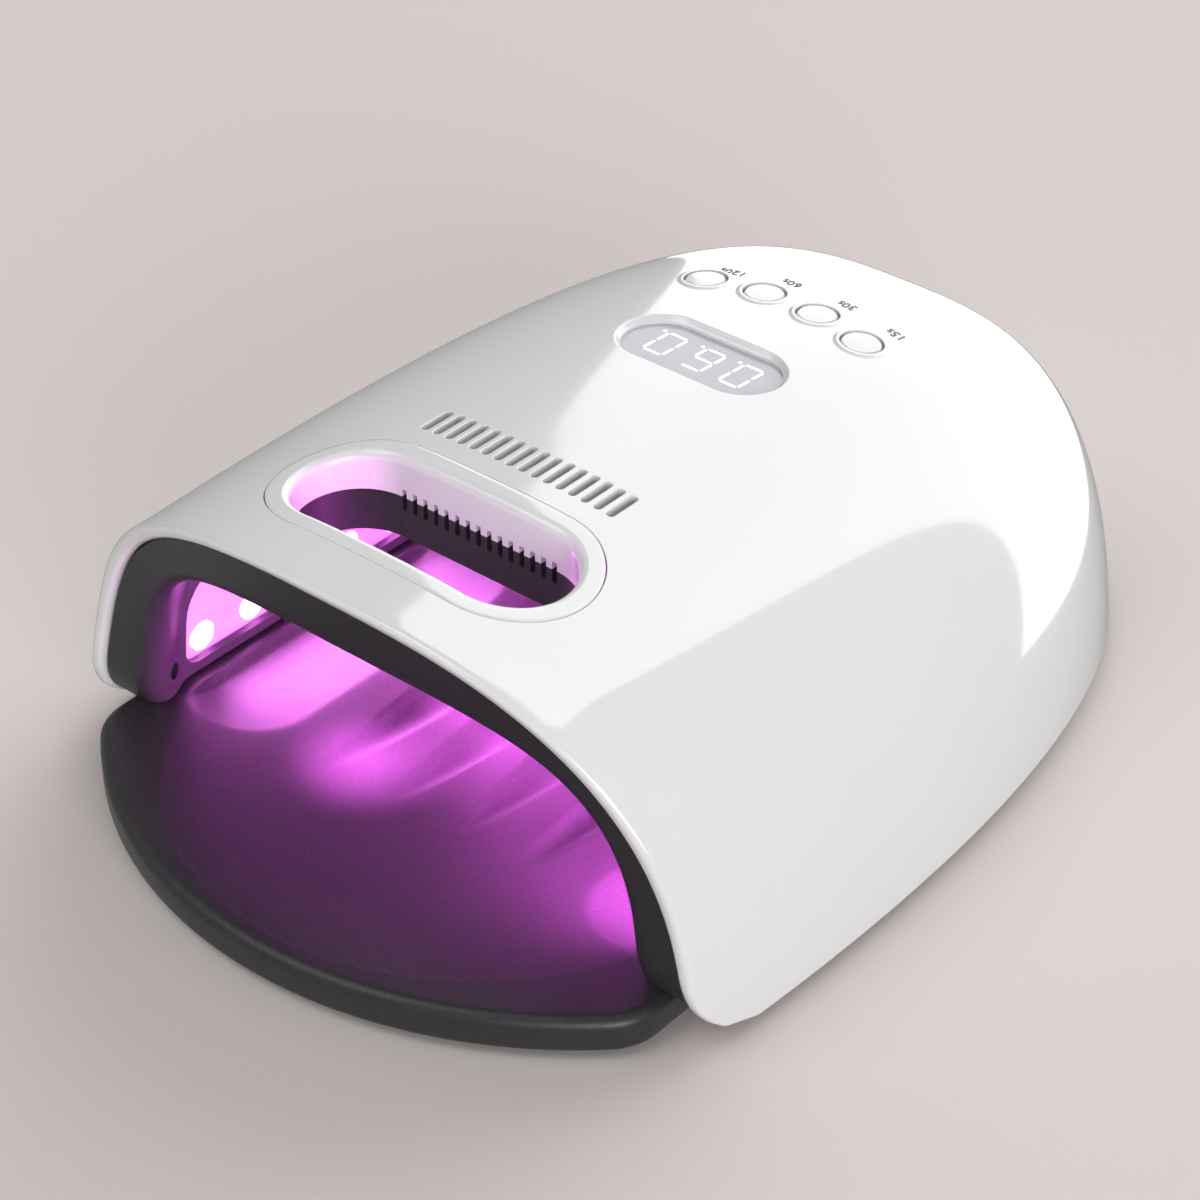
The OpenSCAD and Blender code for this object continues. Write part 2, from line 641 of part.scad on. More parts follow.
// An LED that looks along +Z from its board at z = 0
module led() {
    h = led_board_x - fold_x + lens_proud;
    dome_r = (pow(led_d / 2, 2) + pow(lens_dome, 2)) / (2 * lens_dome);
    post(led_d / 2, 0, h - lens_dome);
    intersection() {
        post(led_d / 2, 0, h);
        translate([0, 0, h - dome_r]) sphere(dome_r, $fn = 64);
    }
}
module leds_side() color(glow) for (i = [0 : side_leds - 1])
    translate([led_board_x, led_y(i), led_z]) rotate([0, -90, 0]) led();
function top_x(i) = (i - (top_leds - 1) / 2) * top_pitch;
top_sheet = [top_window[0] + 8, top_window[1] + 8];
top_board_z = top_seat_z + 2;
module each_top_led() for (y = top_rows, i = [0 : top_leds - 1]) translate([top_x(i), y, 0]) children();
module reflector_top() {
    color(silver) difference() {
        translate([0, top_mid_y, top_seat_z]) linear_extrude(sheet_t) rounded_rect(top_sheet, 4);
        each_top_led() post(led_d / 2 + 0.25, top_seat_z - 1, top_seat_z + 2);
    }
}
module led_board_top() {
    color(board_green) {
        translate([0, top_mid_y, top_board_z]) linear_extrude(board_t) rounded_rect(top_window, 3);
        for (x = [-1, 1], y = [-1, 1])
            translate([x * (top_window[0] / 2 - 5), top_mid_y + y * (top_window[1] / 2 - 5), 0])
                post(2, top_seat_z + sheet_t, top_board_z + eps);
    }
}
module leds_top() color(glow) each_top_led() translate([0, 0, top_board_z]) mirror([0, 0, 1]) led();

// Hand sensor in the chamber walls: a sunk emitter and a proud receiver
sensor_l = 7;
sensor_skin = 2.4;
module ir_emitter() color(black) translate([-chamber_w / 2 + 1, ir_y, ir_z]) rotate([0, -90, 0]) {
    post(ir_r, 1.2, sensor_l);
    post(ir_r + 0.8, sensor_skin + 0.9, sensor_l);
}
module ir_receiver() color([0.25, 0.10, 0.25]) translate([chamber_w / 2 - 1, ir_y, ir_z])
    rotate([0, 90, 0]) {
        post(ir_r, 0.4, sensor_l);
        sphere(ir_r);
        post(ir_r, 0, 1);
        post(ir_r + 0.8, sensor_skin + 0.9, sensor_l);
    }

// Display
module display_window() color(panel_grey) translate([0, display_y, 0])
    slot_block(display_span, display_r + 2.2, display_z - window_t, display_z);
module display_module() color(black) {
    block([display_span + 12, 2 * display_r - 3, display_z - window_t - control_z - board_t],
        [0, display_y, control_z + board_t]);
}

// Buttons
cap_edge = 0.4;
cap_dome_r = 60;
module button(p) {
    r = button_d / 2;
    color(white) on_crown(p) {
        intersection() {
            union() {
                post(r, -button_seat - eps, -cap_edge);
                translate([0, 0, -cap_edge]) cylinder(h = cap_edge, r1 = r, r2 = r - cap_edge);
                post(r - cap_edge, -eps, 0.4);
            }
            translate([0, 0, 0.3 - cap_dome_r]) sphere(cap_dome_r, $fn = 180);
        }
        post(r + button_gap + flange_w - 0.4, -button_seat - flange_t, -button_seat);
        post(stem_r, -stem_l(p), -button_seat);
    }
}
module button_120s() button(button_places[0]);
module button_60s() button(button_places[1]);
module button_30s() button(button_places[2]);
module button_15s() button(button_places[3]);
module button_switches() color(black) for (p = button_places) {
    at = stem_end(p);
    block([6, 6, switch_h], [at[0], at[1], control_z + board_t]);
    translate([at[0], at[1], 0]) post(1.6, control_z + board_t + switch_h - eps,
        control_z + board_t + switch_h + plunger_h);
}
module control_board() color(board_green) difference() {
    translate([0, control_y, control_z]) linear_extrude(board_t) rounded_rect(control_size, 4);
    both_sides() for (p = control_posts) translate([p[0], p[1], 0])
        post(screw_r + 0.2, control_z - 1, control_z + board_t + 1);
}
module board_screws() color(steel) both_sides() for (p = control_posts) translate([p[0], p[1], 0]) {
    post(screw_r - 0.05, control_z - eps, control_z + board_t + screw_bite);
    difference() {
        post(screw_head_r, control_z - screw_head_h, control_z);
        block([0.6, 3, 0.7], [0, 0, control_z - screw_head_h - eps]);
        block([3, 0.6, 0.7], [0, 0, control_z - screw_head_h - eps]);
    }
}

// Batteries and main board
floor_z = cover_z + floor_t;
cell_gap = 1;
cell_y = chamber_l + liner_t + 2 + cell_d / 2;
cell_x = cell_l / 2 + 1.2;
cell_z1 = floor_z + 1.6 + cell_d / 2;
cell_z2 = cell_z1 + cell_d + cell_gap;
module each_cell() for (x = [-1, 1], z = [cell_z1, cell_z2]) translate([x * cell_x, cell_y, z])
    rotate([0, 90, 0]) children();
module battery_cells() {
    color(cell_blue) each_cell() cylinder(h = cell_l - 1.6, r = cell_d / 2, center = true);
    color(steel) each_cell() cylinder(h = cell_l, r = cell_d / 2 - 1.2, center = true);
}
cradle_w = 2 * (cell_x + cell_l / 2) + 3.2;
cradle_l = cell_d + 3;
main_z = cell_z2 + cell_d / 2 + 2.5;
main_size = [cradle_w - 34, cradle_l + 3];
module battery_cradle() color(charcoal) difference() {
    union() {
        block([cradle_w, cradle_l, cell_z1 - floor_z], [0, cell_y, floor_z]);
        block([cradle_w, cell_d - 3, cell_gap], [0, cell_y, cell_z1 + cell_d / 2]);
        block([1.6, cradle_l, cell_z2 - floor_z], [0, cell_y, floor_z]);
        for (side = [-1, 1]) block([1.5, cradle_l, cell_z2 - floor_z],
            [side * (cradle_w / 2 - 0.75), cell_y, floor_z]);
        block([8, cradle_l, cell_z1 + cell_d / 2 - floor_z], [0, cell_y, floor_z]);
        for (side = [-1, 1]) block([1.6, 8, main_z - floor_z], [0, cell_y + side * (cradle_l / 2 - 4), floor_z]);
    }
    for (x = [-1, 1]) {
        translate([x * cell_x, cell_y, cell_z1]) rotate([0, 90, 0])
            cylinder(h = cell_l + 0.2, r = cell_d / 2, center = true);
        translate([x * cell_x, cell_y, cell_z2]) rotate([0, 90, 0])
            cylinder(h = cell_l + 0.2, r = cell_d / 2, center = true);
    }
}
module main_board() color(board_green)
    block([main_size[0], main_size[1], board_t], [0, cell_y + 1, main_z]);
module board_parts() {
    top = main_z + board_t;
    color(black) {
        block([9, 9, 1.4], [-6, cell_y, top]);
        block([6, 8, 1.8], [14, cell_y + 2, top]);
        block([5, 11, 6], [-main_size[0] / 2 + 6, cell_y, top]);
        block([5, 11, 6], [main_size[0] / 2 - 6, cell_y, top]);
    }
    color(steel) {
        for (x = [-36, -26]) translate([x, cell_y + 3, 0]) post(3.5, top, top + 9);
        block([11, 11, 5], [30, cell_y, top]);
    }
}

// Bottom cover: floor, fence round the base plate, screw and foot holes
cover_front = 24;
cover_gap = 0.9;
cover_fit = 0.8;
fence_t = 2;
cover_rows = [0 : 18];
cover_end = patch_in_y - fit_gap;
function cover_row(k) = cover_front + (cover_end - cover_front) * (1 - pow(1 - k / 18, 2));
module cover_shape() {
    right = [for (k = cover_rows) [half_at(HOOD, cover_row(k), rim_z + floor_t, wall + cover_gap),
        cover_row(k)]];
    polygon(concat(right, [for (k = cover_rows) [-right[18 - k][0], right[18 - k][1]]]));
}
foot_r = 4;
foot_y = 68;
foot_places = [[side_post_x(foot_y), foot_y], [56, cell_y + 4]];
module bottom_cover() color(charcoal) difference() {
    union() {
        translate([0, 0, cover_z]) linear_extrude(floor_t) difference() {
            cover_shape();
            plate_outline(-cover_fit);
        }
        translate([0, 0, cover_z]) linear_extrude(liner_z - cover_z) intersection() {
            difference() {
                plate_outline(-cover_fit - fence_t);
                plate_outline(-cover_fit);
            }
            translate([-hood_w, cover_front]) square([2 * hood_w, hood_l]);
        }
    }
    both_sides() {
        for (p = concat(side_posts, [back_post])) translate([p[0], p[1], 0]) {
            post(cover_screw_r + 0.2, cover_z - 1, floor_z + 1);
            post(cover_head_r + 0.2, cover_z - 1, cover_z + 1.2);
        }
        for (p = foot_places) translate([p[0], p[1], 0]) post(1.6, cover_z - 1, floor_z + 1);
    }
}
module cover_screws() color(steel) both_sides() for (p = concat(side_posts, [back_post]))
    translate([p[0], p[1], 0]) {
        post(cover_screw_r - 0.05, cover_z + 0.2, floor_z + cover_bite - 3);
        difference() {
            post(cover_head_r, cover_z + 0.2, cover_z + 1.2);
            block([0.6, 3, 0.6], [0, 0, cover_z]);
            block([3, 0.6, 0.6], [0, 0, cover_z]);
        }
    }
module housing_feet() color(black) both_sides() for (p = foot_places) translate([p[0], p[1], 0]) {
    post(foot_r, 0, cover_z);
    post(1.6, cover_z - eps, floor_z);
}

// Back panel with the charging socket and the power switch
jack_x = -10;
jack_r = jack_bore / 2 + 1;
switch_x = 8.5;
switch_size = [14, 9];
module rear_panel() color(charcoal) difference() {
    union() {
        block([panel_w - 0.6, patch_y - 0.4 - panel_in_y + eps, panel_h - 0.6],
            [0, (patch_y - 0.4 + panel_in_y) / 2, panel_z - panel_h / 2 + 0.3]);
        block([panel_w + panel_flange, panel_t, panel_h + 1.4],
            [0, panel_in_y - panel_t / 2, panel_z - panel_h / 2 - 0.7]);
    }
    translate([jack_x, patch_y - 12, panel_z]) rotate([-90, 0, 0]) cylinder(h = 16, r = jack_r + 0.1);
    block([switch_size[0] + 0.2, 24, switch_size[1] + 0.2],
        [switch_x, patch_y, panel_z - switch_size[1] / 2 - 0.1]);
}
jack_l = 12;
module dc_jack() {
    color(black) {
        difference() {
            union() {
                translate([jack_x, patch_y - jack_l, panel_z]) rotate([-90, 0, 0])
                    cylinder(h = jack_l - 0.2, r = jack_r);
                block([10, jack_l - 5, 9], [jack_x, panel_in_y - panel_t - (jack_l - 5) / 2, panel_z - 4.5]);
            }
            translate([jack_x, patch_y - jack_l + 2, panel_z]) rotate([-90, 0, 0])
                cylinder(h = jack_l, r = jack_bore / 2);
        }
    }
    color(steel) translate([jack_x, patch_y - jack_l, panel_z]) rotate([-90, 0, 0])
        cylinder(h = jack_l - 1.5, r = 1);
}
// The rocker turns on a line along X, set back from the panel face
rocker_size = [switch_size[0] - 2.4, switch_size[1] - 1.6];
pivot_y = patch_y - 3.6;
pivot_r = 0.9;
pivot_gap = 0.06;
rocker_r = rocker_size[1] / 2 / cos(rocker_angle);
bezel_t = 0.8;
module switch_body() color(black) difference() {
    union() {
        block([switch_size[0], 12, switch_size[1]],
            [switch_x, patch_y - 6, panel_z - switch_size[1] / 2]);
        block([switch_size[0] + 1.6, bezel_t, switch_size[1] + 1.6],
            [switch_x, patch_y - 0.4 + bezel_t / 2 + eps, panel_z - switch_size[1] / 2 - 0.8]);
        for (x = [-3.5, 3.5]) block([1, 6, 4], [switch_x + x, patch_y - 14, panel_z - 2]);
    }
    block([rocker_size[0] + 0.6, 8, switch_size[1] - 1.2],
        [switch_x, patch_y - 3, panel_z - switch_size[1] / 2 + 0.6]);
    translate([switch_x, pivot_y, panel_z]) rotate([0, 90, 0])
        cylinder(h = rocker_size[0] + 2, r = pivot_r + pivot_gap, center = true);
}
module power_rocker() color(black) translate([switch_x, pivot_y, panel_z]) {
    rotate([0, 90, 0]) cylinder(h = rocker_size[0] + 1.6, r = pivot_r, center = true);
    rotate([-rocker_angle / 2, 0, 0]) translate([-rocker_size[0] / 2, 0, 0])
        rotate([90, 0, 90]) linear_extrude(rocker_size[0]) polygon([
            [-1.6, -1.8], [-1.6, 1.8], [1.6, rocker_size[1] / 2 - 0.5],
            [4.4, rocker_size[1] / 2 - 0.4], [3.4, 0], [4.4, 0.4 - rocker_size[1] / 2],
            [1.6, 0.5 - rocker_size[1] / 2]]);
}

// Base plate: rounded edges made of discs and bars, then dished
plate_z = foot_h;
edge_top = 3;
edge_low = 2;
module edge_profile(r) {
    h = plate_top - plate_z;
    square([r - edge_top, h]);
    square([r, h - edge_top]);
    translate([r - edge_top, h - edge_top]) circle(edge_top);
}
module edge_shape(r) difference() {
    edge_profile(r);
    translate([r - edge_low, -eps]) difference() {
        square([edge_low + 1, edge_low]);
        translate([0, edge_low + eps]) circle(edge_low);
    }
}
module rounded_disc(r) translate([0, 0, plate_z]) rotate_extrude($fn = r > 30 ? 180 : 64) edge_shape(r);
module plate_body() {
    intersection() {
        translate([0, tongue_y, 0]) rounded_disc(tongue_r);
        linear_extrude(40) tongue_sector();
    }
    both_sides() {
        intersection() {
            translate([blend_x, blend_y, 0]) rounded_disc(blend_r);
            linear_extrude(40) blend_sector();
        }
        translate([rear_x, rear_y, 0]) rounded_disc(rear_r);
        translate([0, rear_y, plate_z]) rotate([90, 0, 0]) linear_extrude(rear_y - blend_y)
            edge_shape(plate_hw);
        translate([rear_x, rear_y, plate_z]) rotate([90, 0, -90]) linear_extrude(rear_x)
            mirror([1, 0]) edge_shape(rear_r);
    }
}
dish_r = 82;
dish_y = dish_r - tongue + 6;
dish_ball = (pow(dish_r, 2) + pow(dish_depth, 2)) / (2 * dish_depth);
module dish_tool() translate([0, dish_y, plate_top - dish_depth])
    rotate_extrude($fn = 180) intersection() {
        translate([0, dish_ball]) circle(dish_ball, $fn = 1440);
        square([dish_r + 8, dish_depth + 1]);
    }
// Height of the dish over a point of the plan
function dish_z(x, y) = plate_top - dish_depth + dish_ball
    - sqrt(pow(dish_ball, 2) - pow(x, 2) - pow(y - dish_y, 2));
groove_r = 14;
groove_half = 110;
groove_y = 64;
groove_ball = (pow(groove_half, 2) + pow(groove_r, 2)) / (2 * groove_r);
module groove_tool(x) {
    translate([x, groove_y, dish_z(x, groove_y) + groove_r - groove_depth]) rotate([90, 0, 0])
        rotate_extrude($fn = 96) intersection() {
            translate([groove_r - groove_ball, 0]) circle(groove_ball, $fn = 720);
            translate([0, -groove_half]) square([groove_r, 2 * groove_half]);
        }
}
thumb_r = 50;
thumb_x = plate_hw - 25.5;
thumb_y = [29, 95];
thumb_floor = 3;
module thumb_tool() intersection() {
    translate([thumb_x, 0, dish_z(thumb_x, thumb_y[0]) + thumb_r - thumb_depth]) {
        translate([0, thumb_y[1], 0]) rotate([90, 0, 0])
            cylinder(h = thumb_y[1] - thumb_y[0], r = thumb_r, $fn = 180);
        for (y = thumb_y) translate([0, y, 0]) sphere(thumb_r, $fn = 180);
    }
    block([40, thumb_y[1] - thumb_y[0] + 2 * thumb_r, plate_top],
        [thumb_x - 5.5, (thumb_y[0] + thumb_y[1]) / 2, thumb_floor]);
}
plate_feet_at = [[58, -6], [58, 140]];
plate_foot_r = 6.5;
pocket_h = 2.2;
module base_plate() color(charcoal) difference() {
    plate_body();
    dish_tool();
    for (i = [-1.5 : 1 : 1.5]) groove_tool(i * groove_pitch);
    both_sides() {
        thumb_tool();
        for (p = magnet_places) translate([p[0], p[1], 0])
            post(magnet_d / 2 + 0.05, plate_z - 1, plate_top - magnet_skin);
        for (p = plate_feet_at) translate([p[0], p[1], 0]) post(2.5, plate_z - 1, plate_z + 2);
        for (k = [0 : 3]) translate([0, 10 + 34 * k, 0]) {
            block([40, 28, pocket_h + 1], [22.5, 0, plate_z - 1]);
        }
    }
}
module plate_magnets() color(steel) both_sides() for (p = magnet_places) translate([p[0], p[1], 0])
    post(magnet_d / 2, plate_top - magnet_skin - magnet_h, plate_top - magnet_skin);
module plate_feet() color(black) both_sides() for (p = plate_feet_at) translate([p[0], p[1], 0]) {
    post(plate_foot_r, 0, plate_z);
    post(2.5, plate_z - eps, plate_z + 2);
}

placed() top_shell();
placed() handle_collar();
placed() handle_well();
placed() inner_liner();
placed() mirror([1, 0, 0]) reflector_side();  // reflector_left
placed() reflector_side();  // reflector_right
placed() reflector_top();
placed() mirror([1, 0, 0]) led_board_side();  // led_board_left
placed() led_board_side();  // led_board_right
placed() led_board_top();
placed() mirror([1, 0, 0]) leds_side();  // leds_left
placed() leds_side();  // leds_right
placed() leds_top();
placed() ir_emitter();
placed() ir_receiver();
placed() display_window();
placed() display_module();
placed() button_120s();
placed() button_60s();
placed() button_30s();
placed() button_15s();
placed() button_switches();
placed() control_board();
placed() board_screws();
placed() main_board();
placed() board_parts();
placed() battery_cells();
placed() battery_cradle();
placed() bottom_cover();
placed() cover_screws();
placed() housing_feet();
placed() liner_magnets();
placed() rear_panel();
placed() dc_jack();
placed() switch_body();
placed() power_rocker();
placed() base_plate();
placed() plate_magnets();
placed() plate_feet();
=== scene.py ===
"""An LED nail lamp in a pale studio.

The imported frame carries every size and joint. This script dresses it: smooth mouldings stand in for
the faceted solids, every part gets a procedural finish, and a camera and soft lights complete the set.
Lengths below are in millimetres from the front edge of the hood, as in the part's source, and are
turned into metres in the frame's own axes when a mesh is made.
"""

import json
import logging
import math
from dataclasses import dataclass, field
from enum import Enum
from typing import Optional, Sequence

import bmesh
import bpy
import numpy as np
from mathutils import Matrix, Vector

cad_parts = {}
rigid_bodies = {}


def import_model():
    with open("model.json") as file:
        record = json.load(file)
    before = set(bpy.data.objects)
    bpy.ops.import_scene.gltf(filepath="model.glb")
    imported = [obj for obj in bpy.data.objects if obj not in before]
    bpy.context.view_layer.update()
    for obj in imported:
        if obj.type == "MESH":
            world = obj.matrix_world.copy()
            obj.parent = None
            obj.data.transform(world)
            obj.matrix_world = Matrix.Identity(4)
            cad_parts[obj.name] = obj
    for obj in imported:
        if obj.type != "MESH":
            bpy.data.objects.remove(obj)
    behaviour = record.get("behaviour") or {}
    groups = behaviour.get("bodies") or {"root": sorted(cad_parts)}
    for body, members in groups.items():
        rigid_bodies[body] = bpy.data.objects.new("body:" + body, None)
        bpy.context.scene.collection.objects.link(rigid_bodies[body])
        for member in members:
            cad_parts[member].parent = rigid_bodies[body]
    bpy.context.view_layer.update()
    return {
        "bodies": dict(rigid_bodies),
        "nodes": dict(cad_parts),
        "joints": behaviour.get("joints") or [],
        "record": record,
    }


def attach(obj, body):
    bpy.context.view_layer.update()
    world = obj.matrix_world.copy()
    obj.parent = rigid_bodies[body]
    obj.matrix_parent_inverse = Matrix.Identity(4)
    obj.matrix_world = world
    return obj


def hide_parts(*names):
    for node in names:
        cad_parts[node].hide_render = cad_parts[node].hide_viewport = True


LOG = logging.getLogger("nail_lamp")
MM = 0.001
# Distance from the hood's front edge to the middle of the whole outline
MID_Y = 100.0
# Least value of a divisor
TINY = 1e-12

Array = np.ndarray
Pair = tuple[float, float]
Spot = tuple[float, float, float]
Colour = tuple[float, float, float]


# Shapes of the rounded shells


def ease(share: Array) -> Array:
    """A smooth step from 0 to 1."""
    return share * share * (3 - 2 * share)


def quarter_turn(count: int) -> Array:
    """Angles that step evenly through a quarter turn, in radians."""
    return np.radians(np.linspace(0, 90, count))


@dataclass(frozen=True)
class ShellForm:
    """One rounded shell: a row of superelliptic sections across the lamp.

    It has a half width, a crown height and a length. It widens by a share toward the back, and the
    powers and roots set how square its plan, its side and its sections are.
    """

    half: float
    crown: float
    length: float
    widen: float
    plan_power: float
    plan_root: float
    side_power: float
    side_root: float
    power_x: float
    power_z: float

    # Level below the table at which the sections stand upright
    SINK = -31.0
    # The front edge leans forward above a height, and the lean fades out over a length
    LEAN_Z = 30.0
    LEAN_LENGTH = 80.0
    OVERHANG = 14.2
    # Radius of the lower front corner of each leg
    CORNER = 20.0
    RIM_Z = 3.0
    HEIGHT = 96.0
    # Least half width and rise of a section
    THINNEST = 1e-3
    # Distance over which the slope of the surface is taken
    SLOPE_STEP = 0.05
    # Angle down to which a section's steps are close together, and its largest share of the arc
    SHOULDER = 70.0
    SHOULDER_SHARE = 0.8

    def along(self, y: Array, inset: float) -> Array:
        """Share of the length that lies before y."""
        return np.clip(np.asarray(y, float) / (self.length - inset), 0, 1)

    def half_width(self, y: Array, inset: float = 0.0) -> Array:
        """Half width of the section at a length, drawn in by an inset."""
        t = self.along(y, inset)
        return (self.half - inset) * (1 + self.widen * t) * (1 - t**self.plan_power) ** (1 / self.plan_root)

    def crown_z(self, y: Array, inset: float = 0.0) -> Array:
        """Height of the section at a length.

        Args:
            y: lengths from the front edge.
            inset: how far the section is drawn in.

        Returns:
            The crown's height at each length.
        """
        t = self.along(y, inset)
        rise = self.crown - inset - self.SINK
        return self.SINK + rise * (1 - t**self.side_power) ** (1 / self.side_root)

    def surface_z(self, x: Array, y: Array, inset: float = 0.0) -> Array:
        """Height of the surface over a point of the plan.

        Args:
            x: distances across, from the middle.
            y: lengths from the front edge.
            inset: how far the surface is drawn in.

        Returns:
            The surface's height over each point.
        """
        f = np.clip(np.abs(x) / self.half_width(y, inset), 0, 1)
        rise = self.crown_z(y, inset) - self.SINK
        return self.SINK + rise * (1 - f**self.power_x) ** (1 / self.power_z)

    def half_at(self, y: float, z: float, inset: float) -> float:
        """Half width of the surface at a length and a height."""
        f = min((z - self.SINK) / (self.crown_z(y, inset) - self.SINK), 1)
        return float(self.half_width(y, inset) * (1 - f**self.power_z) ** (1 / self.power_x))

    def normals(self, points: Array, inset: float = 0.0) -> Array:
        """Outward unit normals of the surface nearest to some points.

        Args:
            points: rows of x, y and z.
            inset: how far the surface is drawn in.

        Returns:
            A normal for each point.
        """
        rows = []
        for axis in range(3):
            shift = np.zeros(3)
            shift[axis] = self.SLOPE_STEP
            rows.append(self.level(points + shift, inset) - self.level(points - shift, inset))
        slope = np.stack(rows, axis=-1)
        return slope / np.maximum(np.linalg.norm(slope, axis=-1, keepdims=True), TINY)

    def level(self, points: Array, inset: float) -> Array:
        """How far out some points lie.

        Args:
            points: rows of x, y and z.
            inset: how far the surface is drawn in.

        Returns:
            A value for each point that is 1 on the surface, less inside and more outside.
        """
        x, y, z = points[..., 0], points[..., 1], points[..., 2]
        width = np.maximum(self.half_width(y, inset), self.THINNEST)
        rise = np.maximum(self.crown_z(y, inset) - self.SINK, self.THINNEST)
        height = np.maximum(z - self.SINK, 0) / rise
        return (np.abs(x) / width) ** self.power_x + height**self.power_z

    def lean(self, y: Array, z: Array) -> Array:
        """Length of a point after the front edge's lean and its rounded lower corner.

        Args:
            y: lengths before the lean.
            z: heights above the table.

        Returns:
            The lengths after the lean.
        """
        forward = -self.OVERHANG * ((z - self.LEAN_Z) / (self.HEIGHT - self.LEAN_Z)) ** 2
        low = np.maximum(self.CORNER**2 - (self.RIM_Z + self.CORNER - z) ** 2, 0)
        back = self.CORNER - np.sqrt(low)
        shift = np.where(z > self.LEAN_Z, forward, np.where(z < self.RIM_Z + self.CORNER, back, 0.0))
        return y + shift * (1 - np.clip(y / self.LEAN_LENGTH, 0, 1)) ** 2

    def section(self, y: float, inset: float, foot_z: float, crown_steps: int, foot_steps: int) -> Array:
        """Points of one section, from the left rim over the crown to the right rim.

        Args:
            y: length of the section before the lean.
            inset: how far the section is drawn in.
            foot_z: height at which both rims end.
            crown_steps: steps from the crown to a shoulder.
            foot_steps: steps from a shoulder to a rim.

        Returns:
            An array of 2 * (crown_steps + foot_steps) + 1 points.
        """
        crown = float(self.crown_z(y, inset))
        share = (foot_z - self.SINK) / (crown - self.SINK)
        last = 90 - math.degrees(math.asin(min(share ** (self.power_z / 2), 1)))
        turn = min(self.SHOULDER, self.SHOULDER_SHARE * last)
        upper = turn * (np.arange(crown_steps + 1) / crown_steps) ** (self.power_x / 2)
        lower = turn + (last - turn) * np.arange(1, foot_steps + 1) / foot_steps
        angles = np.radians(np.concatenate([upper, lower]))
        z = self.SINK + (crown - self.SINK) * np.cos(angles) ** (2 / self.power_z)
        length = self.lean(np.full_like(z, y), z)
        x = self.half_width(length, inset) * np.sin(angles) ** (2 / self.power_x)
        right = np.stack([x, length, z], axis=-1)
        left = right[:0:-1] * np.array([-1, 1, 1])
        return np.concatenate([left, right])

    def length_at(self, inset: float, z: float) -> float:
        """Length at which the crown has come down to a height."""
        share = (z - self.SINK) / (self.crown - inset - self.SINK)
        return (self.length - inset) * (1 - share**self.side_root) ** (1 / self.side_power)


HOOD = ShellForm(
    half=105, crown=96, length=246, widen=0.20,
    plan_power=2, plan_root=3.15, side_power=6, side_root=4.25, power_x=3.0, power_z=2.6,
)
CHAMBER = ShellForm(
    half=85.5, crown=72.5, length=188, widen=0,
    plan_power=8, plan_root=5, side_power=8, side_root=4, power_x=5, power_z=4,
)
# Height of the flat patch that closes a shell at its back
BACK_PATCH = 18.0


# Mesh building


